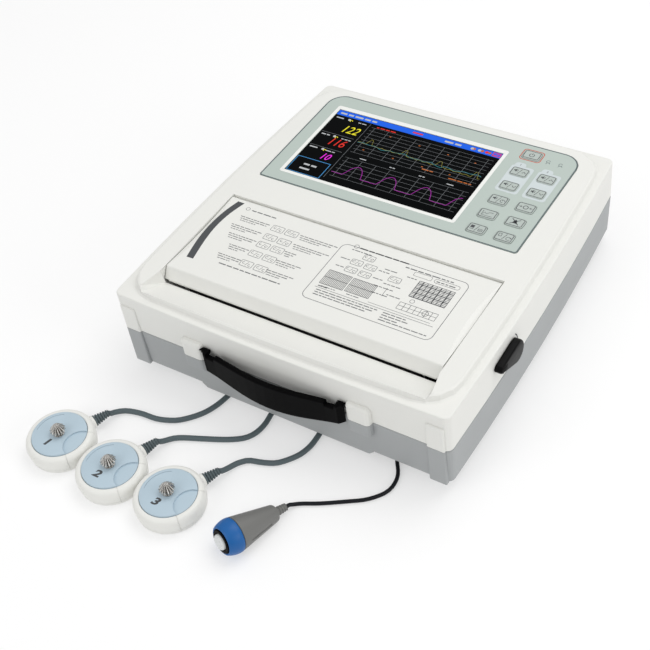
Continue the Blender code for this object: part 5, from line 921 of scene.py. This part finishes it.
CORE = 0.3
PROBE_OUTLINE = ((20.4, 0.5), (20.4, 0.1), (23.9, 0.0), (25.2, 0.35), (25.9, 1.2), (26.25, 3.5), (26.0, 3.9),
                 (26.0, 4.15), (26.4, 4.6), (26.85, 7.4), (26.95, 9.6), (26.8, 11.4), (26.35, 12.9),
                 (25.6, 14.0), (24.7, 14.8), (23.7, 15.15), (22.6, 15.2), (21.9, 15.2), (21.6, 14.9),
                 (21.6, 13.3))
SHELL_FLOOR, SHELL_SEAT, SHELL_SEGMENTS = 0.5, 13.3, 144
SEAM_ANGLES, SEAM_WIDTH, SEAM_SINK = (-38.0, 31.5), 0.45, 0.35
SEAM_RADIUS, SEAM_CLEAR = 27, 0.02   # radius at which a seam has its width, and the angle kept free round it
SEAM_FIRST, SEAM_LAST = 4, 18        # points of the outline between which a seam runs
SOCKET = ((CORE, 21.9), (5.2, 21.9), (5.2, 27.6), (4.9, 28.2), (CORE, 28.2))
PLATE_FOOT, PLATE_TOP, PLATE_RADIUS = 13.6, 16.2, 21.3
PLATE_EDGE = ((21.3, 15.7), (21.15, 16.05), (20.8, PLATE_TOP))
STEP_PLACE, STEP_RADIUS, STEP_SINK, STEP_OVER = (21.0, -1.0), 12.6, 1.2, 20
GROOVE_RADII, GROOVE_START, GROOVE_END, GROOVE_SINK, GROOVE_OVER = (18.8, 18.4), 118, 196, 0.3, 1
KNOB = ((2.6, 16.5), (4.4, 16.5), (4.4, 17.2), (3.5, 17.6), (4.0, 18.4), (5.7, 19.9), (6.2, 20.5),
        (6.0, 21.2), (4.9, 22.5), (3.3, 24.5), (2.0, 26.0), (1.5, 26.25), (CORE, 26.3))
FLUTES, FLUTE_DEPTH, FLUTE_POWER, FLUTE_FROM, KNOB_SEGMENTS = 14, 0.36, 1.1, 17.3, 140
FIGURE_SHIFT, FIGURE_SIZE, FIGURE_LIFT = (-3.2, -13.4), 6.2, 0.03
BOOT_Z, BOOT_START, BOOT_LENGTH = 8.0, 28.5, 7.6
BOOT_REACH, BOOT_RADII, BOOT_RIBS = 12.6, (4.6, 2.7), 6   # it runs on round the cord's straight start


def probe_out(number):
    """Direction in which a probe's cord leaves it."""
    start, aim = PROBES[number], PROBE_AIMS[number]
    return Vector((aim[0] - start[0], aim[1] - start[1], 0)).normalized()


def make_shell(mesh, centre):
    """Round shell with its low seam and the two upright seams beside the plate's step."""
    seams = [math.radians(angle) % math.tau for angle in SEAM_ANGLES]
    half = SEAM_WIDTH / SEAM_RADIUS / 2
    angles = [math.tau * k / SHELL_SEGMENTS for k in range(SHELL_SEGMENTS)]
    for seam in seams:
        angles = [angle for angle in angles if abs(angle - seam) > SEAM_CLEAR]
        angles += [seam + side * half for side in (-1, -0.4, 0.4, 1)]
    angles.sort()
    points = [(CORE, SHELL_FLOOR), *PROBE_OUTLINE, (CORE, SHELL_SEAT)]
    rings = []
    for i, (radius, height) in enumerate(points):
        before, after = points[max(i - 1, 0)], points[min(i + 1, len(points) - 1)]
        along = Vector((after[0] - before[0], after[1] - before[1])).normalized()
        ring = []
        for angle in angles:
            in_seam = SEAM_FIRST <= i <= SEAM_LAST and any(abs(angle - seam) < half / 2 for seam in seams)
            sink = SEAM_SINK if in_seam else 0
            r, h = radius - along.y * sink, height + along.x * sink
            ring.append((centre[0] + r * math.cos(angle), centre[1] + r * math.sin(angle), h))
        rings.append(ring)
    bridge(mesh, rings)


def make_plate(centre):
    """Disc with the sunk step at its side and a fine curved groove."""
    disc, cut, groove = bmesh.new(), bmesh.new(), bmesh.new()
    lathe(disc, ((CORE, PLATE_FOOT), (PLATE_RADIUS, PLATE_FOOT), *PLATE_EDGE, (CORE, PLATE_TOP)),
          (*centre, 0), UP, 144)
    step, sunk = (centre[0] + STEP_PLACE[0], centre[1] + STEP_PLACE[1], 0), PLATE_TOP - STEP_SINK
    lathe(cut, ((CORE, sunk), (STEP_RADIUS, sunk), (STEP_RADIUS, STEP_OVER), (CORE, STEP_OVER)), step, UP)
    disc = less(disc, cut)
    outer, inner = (arc(*centre, radius, GROOVE_START, GROOVE_END, 30) for radius in GROOVE_RADII)
    slab(groove, outer + inner[::-1], PLATE_TOP - GROOVE_SINK, PLATE_TOP + GROOVE_OVER)
    return less(disc, groove)


def make_knob(mesh, centre):
    """Fluted double cone: sharp valleys between fourteen rounded flutes."""
    def fluted(radius, height, angle):
        wave = abs(math.sin(FLUTES / 2 * angle))
        return radius - FLUTE_DEPTH * radius * (1 - wave) ** FLUTE_POWER * (height > FLUTE_FROM)

    lathe(mesh, KNOB, (*centre, 0), UP, KNOB_SEGMENTS, fluted)


def make_boot(mesh, start, out, sizes, length, count):
    """Tapered strain relief with ring ribs and slots between them."""
    wide, slim = sizes
    profile = [(CORE, 0), (wide, 0)]
    for k in range(count):
        for share, dip in ((0.08, 0), (0.54, 0), (0.58, 0.26), (0.96, 0.26)):
            along = (k + share) / count
            profile.append(((wide + (slim - wide) * along) * (1 - dip), length * along))
    profile += [(slim, length * 0.99), (slim * 0.9, length), (CORE, length)]
    lathe(mesh, profile, start, out, 48)


def make_probes():
    for number, centre in enumerate(PROBES):
        name = str(number + 1)
        shell, knob = bmesh.new(), bmesh.new()
        make_shell(shell, centre)
        lathe(shell, SOCKET, (*centre, BOOT_Z), probe_out(number), 48)
        make_knob(knob, centre)
        face = make_plate(centre)
        piece("probe_cup_" + name, shell, WHITE, "unit", ("probe_shell_" + name,))
        piece("probe_face_" + name, face, PLATE, "unit", ("probe_plate_" + name,))
        piece("belt_knob_" + name, knob, STEEL, "unit", ("belt_button_" + name,), 20)
        numeral("probe_number_" + name, name, centre[0] + FIGURE_SHIFT[0], centre[1] + FIGURE_SHIFT[1],
                FIGURE_SIZE, PLATE_TOP + FIGURE_LIFT, INK_DARK_AND_SHADE, "unit", "plate_blue", shear=0.2,
                squeeze=1.35, bold=0.35)


# Event marker: profiles are pairs of radius and place along the marker, from its collar

MARKER_REACH = (MARKER_TO - MARKER_FROM).length
MARKER_ALONG = (MARKER_TO - MARKER_FROM).normalized()
COLLAR = ((CORE, 1.3), (7.9, 1.3), (7.9, -2.5), (9.4, -2.5), (9.4, -7.2), (9.7, -7.5), (10.3, -7.5),
          (10.9, -7.1), (11.8, -5.4), (12.6, -3.0), (13.05, -0.8), (13.2, 1.0), (13.1, 2.8), (12.9, 3.6),
          (12.5, 4.0), (CORE, 4.0))
BEZEL_RING = ((6.3, -8.0), (6.6, -8.3), (8.7, -8.3), (9.1, -7.9), (9.1, -2.8), (6.3, -2.8))
PUSH_BUTTON = ((CORE, -10.72), (2.2, -10.68), (4.0, -10.45), (5.1, -10.1), (5.7, -9.5), (5.9, -8.8),
               (5.9, -2.5), (7.6, -2.5), (7.6, -1.3), (CORE, -1.3))
GRIP_START, GRIP_LENGTH = 4.3, 34.5
GRIP_END = GRIP_START + GRIP_LENGTH
GRIP = ((CORE, GRIP_START), (12.4, GRIP_START), (12.7, 4.7), (12.4, 6.5), (6.6, GRIP_END - 2.4),
        (6.2, GRIP_END - 1.3), (5.5, GRIP_END - 0.5), (4.4, GRIP_END))
TAIL_WIDE, TAIL_SLIM, TAIL_DIP, TAIL_RIBS = 3.6, 2.8, 0.45, 4
SLOT_FROM, SLOT_TO, SLOT_OFFSET, SLOT_TAPER, SLOT_LIFT = 6.0, 26.0, 12.7, 6.8, 0.3
MARKER_SEGMENTS = 128


def make_grip():
    """Cone with a ribbed tail and a long slot at either side."""
    grip, profile = bmesh.new(), list(GRIP)
    for k in range(TAIL_RIBS):
        for share, dip in ((0.05, 0), (0.45, 0), (0.55, TAIL_DIP), (0.95, TAIL_DIP)):
            s = (k + share) / TAIL_RIBS
            radius = TAIL_WIDE + (TAIL_SLIM - TAIL_WIDE) * s - dip
            profile.append((radius, GRIP_END + (MARKER_REACH - GRIP_END) * s))
    profile += [(TAIL_SLIM, MARKER_REACH), (CORE, MARKER_REACH)]
    lathe(grip, profile, MARKER_FROM, MARKER_ALONG, MARKER_SEGMENTS)
    side = MARKER_ALONG.cross(Vector(UP)).normalized()
    for turn in (-1, 1):
        start, stop = (MARKER_FROM + MARKER_ALONG * (GRIP_START + s)
                       + side * turn * (SLOT_OFFSET - SLOT_TAPER * s / GRIP_LENGTH + SLOT_LIFT)
                       for s in (SLOT_FROM, SLOT_TO))
        slot, length = bmesh.new(), (stop - start).length
        near = ((0.1, 0), (0.7, 0.2), (0.95, 0.8))
        far = tuple((radius, length - height) for radius, height in near[::-1])
        lathe(slot, near + far, start, stop - start, 20)
        grip = less(grip, slot)
    return grip


def make_marker():
    collar, ring, button = bmesh.new(), bmesh.new(), bmesh.new()
    lathe(collar, COLLAR, MARKER_FROM, MARKER_ALONG, MARKER_SEGMENTS)
    lathe(ring, BEZEL_RING, MARKER_FROM, MARKER_ALONG, MARKER_SEGMENTS, closed=True)
    lathe(button, PUSH_BUTTON, MARKER_FROM, MARKER_ALONG)
    piece("marker_cap", collar, BLUE, "unit", ("marker_collar",))
    piece("marker_ring", ring, BLACK, "unit", ("marker_bezel",))
    piece("marker_push_button", button, BUTTON, "marker_push", ("marker_button",))
    piece("marker_grip", make_grip(), MARKER_GREY, "unit", ("marker_body",))


# Cords: each route's free points are those of the solid model

CORD_DIAMETER, MARKER_CORD_DIAMETER = 4.3, 3.0
CORD_POINTS, CORD_ROUNDNESS = 38, 5
FLOOR_CLEAR, PLUG_CLEAR, MARKER_CLEAR = 0.05, 0.3, 0.3
ROUTES = (
    ((-126.2, -55.2, 6.4), (-125.4, -50.2, 3.6), (-119.6, -44.4, 2.2), (-107.0, -41.0, 2.2),
     (-93.8, -40.1, 2.2), (-84.4, -37.5, 2.2), (-76.1, -33.4, 2.2), (-67.7, -25.5, 2.2), (-61.5, -16.7, 2.2),
     (-57.6, -6.6, 2.2), (-55.6, 3.6, 2.2), (-54.6, 12.5, 3.2), (-54.2, 20.0, 9.5), (-54.2, 27.0, 18.5)),
    ((-74.3, -60.1, 6.4), (-72.6, -55.7, 3.6), (-69.1, -50.2, 2.2), (-62.5, -46.0, 2.2), (-47.6, -39.7, 2.2),
     (-32.0, -32.8, 2.2), (-22.4, -27.1, 2.2), (-17.5, -22.3, 2.2), (-14.3, -15.2, 2.2), (-13.4, -5.6, 2.2),
     (-14.6, 3.4, 2.2), (-14.6, 12.5, 3.2), (-14.0, 20.0, 9.5), (-14.0, 27.0, 18.5)),
    ((-15.2, -61.4, 6.4), (-14.0, -55.6, 3.6), (-11.8, -48.9, 2.2), (-8.6, -44.6, 2.2), (-4.1, -41.0, 2.2),
     (5.8, -38.1, 2.2), (14.9, -34.0, 2.2), (21.8, -26.7, 2.2), (26.8, -18.5, 2.2), (29.2, -8.6, 2.2),
     (29.2, 0.6, 2.2), (28.6, 9.0, 2.6), (28.6, 18.5, 8.2), (28.6, 26.5, 18.0)),
    ((45.4, -61.6, 3.1), (50.4, -56.6, 1.6), (63.4, -49.7, 1.6), (79.6, -39.5, 1.6), (90.6, -32.0, 1.6),
     (98.6, -22.8, 1.6), (101.5, -15.1, 1.6), (101.0, -6.1, 1.6), (98.0, 0.8, 1.6), (93.4, 7.5, 1.8),
     (89.6, 15.5, 4.6), (88.2, 23.5, 11.5), (88.0, 31.5, 20.0)),
)


def plug_end(name):
    """Point where a cord meets its plug: the middle of the plug's front end."""
    low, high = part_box(name)
    middle = (Vector(low) + Vector(high)) / 2
    return Vector((middle.x, low[1], middle.z)) * PER_METRE - SHIFT


def even_points(points, count):
    """A smooth curve through the points, as points at even distances."""
    fine = [Vector(p) for p in curve_profile(points, 24)]
    lengths = [0.0]
    for a, b in zip(fine, fine[1:]):
        lengths.append(lengths[-1] + (b - a).length)
    even, k = [], 0
    for i in range(count):
        target = lengths[-1] * i / (count - 1)
        while k < len(fine) - 2 and lengths[k + 1] < target:
            k += 1
        even.append(fine[k].lerp(fine[k + 1], (target - lengths[k]) / (lengths[k + 1] - lengths[k])))
    return even


def make_cord(name, start, out, route, diameter, mat, plug, boot_length):
    """Round cord from its exit, straight through its boot, along its route and into its plug."""
    end = plug_end(plug) - Vector((0, PLUG_CLEAR, 0))
    lead = start + out * boot_length
    free = [lead + out * diameter, *(Vector(p) for p in route), end - Vector((0, diameter, 0))]
    points = [start, lead, *even_points(free, CORD_POINTS), end]
    low = diameter / 2 + FLOOR_CLEAR
    points = [place(p.x, p.y, max(p.z, low)) for p in points]
    curve = bpy.data.curves.new(name, "CURVE")
    curve.dimensions = "3D"
    curve.bevel_depth, curve.bevel_resolution = diameter / 2 / PER_METRE, CORD_ROUNDNESS
    curve.use_fill_caps = True
    spline = curve.splines.new("POLY")
    spline.points.add(len(points) - 1)
    for point, at in zip(spline.points, points):
        point.co = (*at, 1)
    spline.use_smooth = True
    curve.materials.append(mat)
    obj = added(name, curve)
    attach(obj, "unit")
    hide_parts(plug.replace("plug", "cord"))


def make_cords():
    for number in range(len(PROBES)):
        name, out = str(number + 1), probe_out(number)
        start = Vector((*PROBES[number], BOOT_Z)) + out * BOOT_START
        mesh = bmesh.new()
        make_boot(mesh, start, out, BOOT_RADII, BOOT_REACH, BOOT_RIBS)
        boot = piece("cord_boot_" + name, mesh, CORD, "unit")
        make_cord("lead_" + name, start, out, ROUTES[number], CORD_DIAMETER, CORD,
                  "probe_plug_" + name, BOOT_LENGTH)
    start = MARKER_TO + MARKER_ALONG * MARKER_CLEAR
    make_cord("lead_marker", start, MARKER_ALONG, ROUTES[-1], MARKER_CORD_DIAMETER, BLACK_CORD,
              "marker_plug", 0)


# Latch, door lip and screws; outlines on the side wall are pairs of Y and Z

LATCH_HUB, LATCH_TIP = (92.0, 62.0), (68.5, 66.5)
HUB_RADIUS, TIP_RADIUS, TIP_SHARE = 9.3, 3.4, 0.7   # share of the edge's rounding that the tip takes
LEVER_FACES = ((144.1, 0), (148.2, 0), (149.1, 0.3), (149.6, 0.8), (149.9, 1.6))   # X and inset
SHAFT_RADIUS, SHAFT_FROM, SHAFT_TO, SHAFT_CORE = 2.4, 110.5, 144.3, 0.2
RIB, RIB_FACES = ((66.8, 64.4), (67.6, 64.2), (68.4, 68.4), (67.6, 68.6)), (149.8, 150.2)
RIB_COUNT, RIB_STEP = 4, (0, 1.9, -0.25)
# The slit beside the lever is not cut: a dark crescent on the side wall is painted shade standing in for it
SLIT_CENTRE, SLIT_RADII, SLIT_ANGLES, SLIT_FACES = (88.5, 61.5), (14.9, 13.9), (-6, 42), (143.45, 143.68)
LIP_EDGE, LIP_CORNER, LIP_LEVELS = (-116.5, 116.5, 32.9, 33.9), 0.3, (75.9, 77.4)
SCREW = ((0.2, 33.6), (2.2, 33.6), (2.8, 34.4), (2.8, 35.9), (1.5, 35.9), (1.5, 54.6), (0.2, 55))
CROSS_LONG, CROSS_SHORT, CROSS_LEVELS = 1.5, 0.3, (33, 34.6)
SCREW_PLACES = (("front", 129, 17), ("rear", 120, 284))   # distance from the middle and Y


def link_outline(a, a_radius, b, b_radius, steps=20):
    """Outline round two circles and the straight lines that join them."""
    step = Vector(b) - Vector(a)
    base = math.atan2(step.y, step.x)
    spread = math.acos((a_radius - b_radius) / step.length)
    points = []
    for centre, radius, start, sweep in ((b, b_radius, base - spread, 2 * spread),
                                         (a, a_radius, base + spread, math.tau - 2 * spread)):
        for k in range(steps + 1):
            angle = start + sweep * k / steps
            points.append((centre[0] + radius * math.cos(angle), centre[1] + radius * math.sin(angle)))
    return points


def make_latch():
    """Lever with its shaft, the ribs at its tip, and the slit beside it drawn as a dark band of painted
    shade on the wall.
    """
    mesh, rings = bmesh.new(), []
    for x, inset in LEVER_FACES:
        outline = link_outline(LATCH_HUB, HUB_RADIUS - inset, LATCH_TIP, TIP_RADIUS - inset * TIP_SHARE)
        rings.append([(x, y, z) for y, z in outline])
    bridge(mesh, rings)
    shaft = ((SHAFT_CORE, SHAFT_FROM), (SHAFT_RADIUS, SHAFT_FROM), (SHAFT_RADIUS, SHAFT_TO),
             (SHAFT_CORE, SHAFT_TO))
    lathe(mesh, shaft, (0, *LATCH_HUB), (1, 0, 0), 40)
    piece("release_lever", mesh, LEVER, "latch", ("latch_lever",), 24)
    ribs, rib, slit = bmesh.new(), bmesh.new(), bmesh.new()
    slab(rib, RIB, *RIB_FACES, axis=0)
    repeated(ribs, rib, RIB_COUNT, RIB_STEP, LEVER)
    piece("lever_ribs", ribs, LEVER, "latch")
    # Painted shade: a dark band on the wall where the slit's shade falls, not a cut
    outer, inner = (arc(*SLIT_CENTRE, radius, *SLIT_ANGLES, 14) for radius in SLIT_RADII)
    band(slit, outer, inner, *SLIT_FACES, axis=0)
    piece("lever_slit_painted_shade", slit, INK_DARK_AND_SHADE, "unit")


def make_door_lip():
    """Lip under the door's front edge, which leaves a thin slot for the paper."""
    mesh = bmesh.new()
    slab(mesh, rounded(*LIP_EDGE, LIP_CORNER, 2), *LIP_LEVELS)
    piece("door_lip", mesh, WHITE, "door")


def make_screws():
    """Four cover screws, seen from below in their wells."""
    head, cross = bmesh.new(), bmesh.new()
    lathe(head, SCREW, (0, 0, 0), UP, 32)
    for x, y in ((CROSS_LONG, CROSS_SHORT), (CROSS_SHORT, CROSS_LONG)):
        block(cross, -x, x, -y, y, *CROSS_LEVELS)
    head = less(head, cross)
    for side, side_name in ((-1, "left"), (1, "right")):
        for end_name, x, y in SCREW_PLACES:
            mesh = head.copy()
            bmesh.ops.translate(mesh, verts=mesh.verts, vec=(side * x, y, 0))
            piece("cover_screw_%s_%s" % (side_name, end_name), mesh, STEEL, "unit")
    head.free()


REPEATER = line_repeater()
set_stage()
dress_nodes()
make_cords()
make_probes()
make_marker()
make_latch()
make_door_lip()
make_screws()
make_panel_prints()
make_key_prints()
make_screen()
make_door_prints()
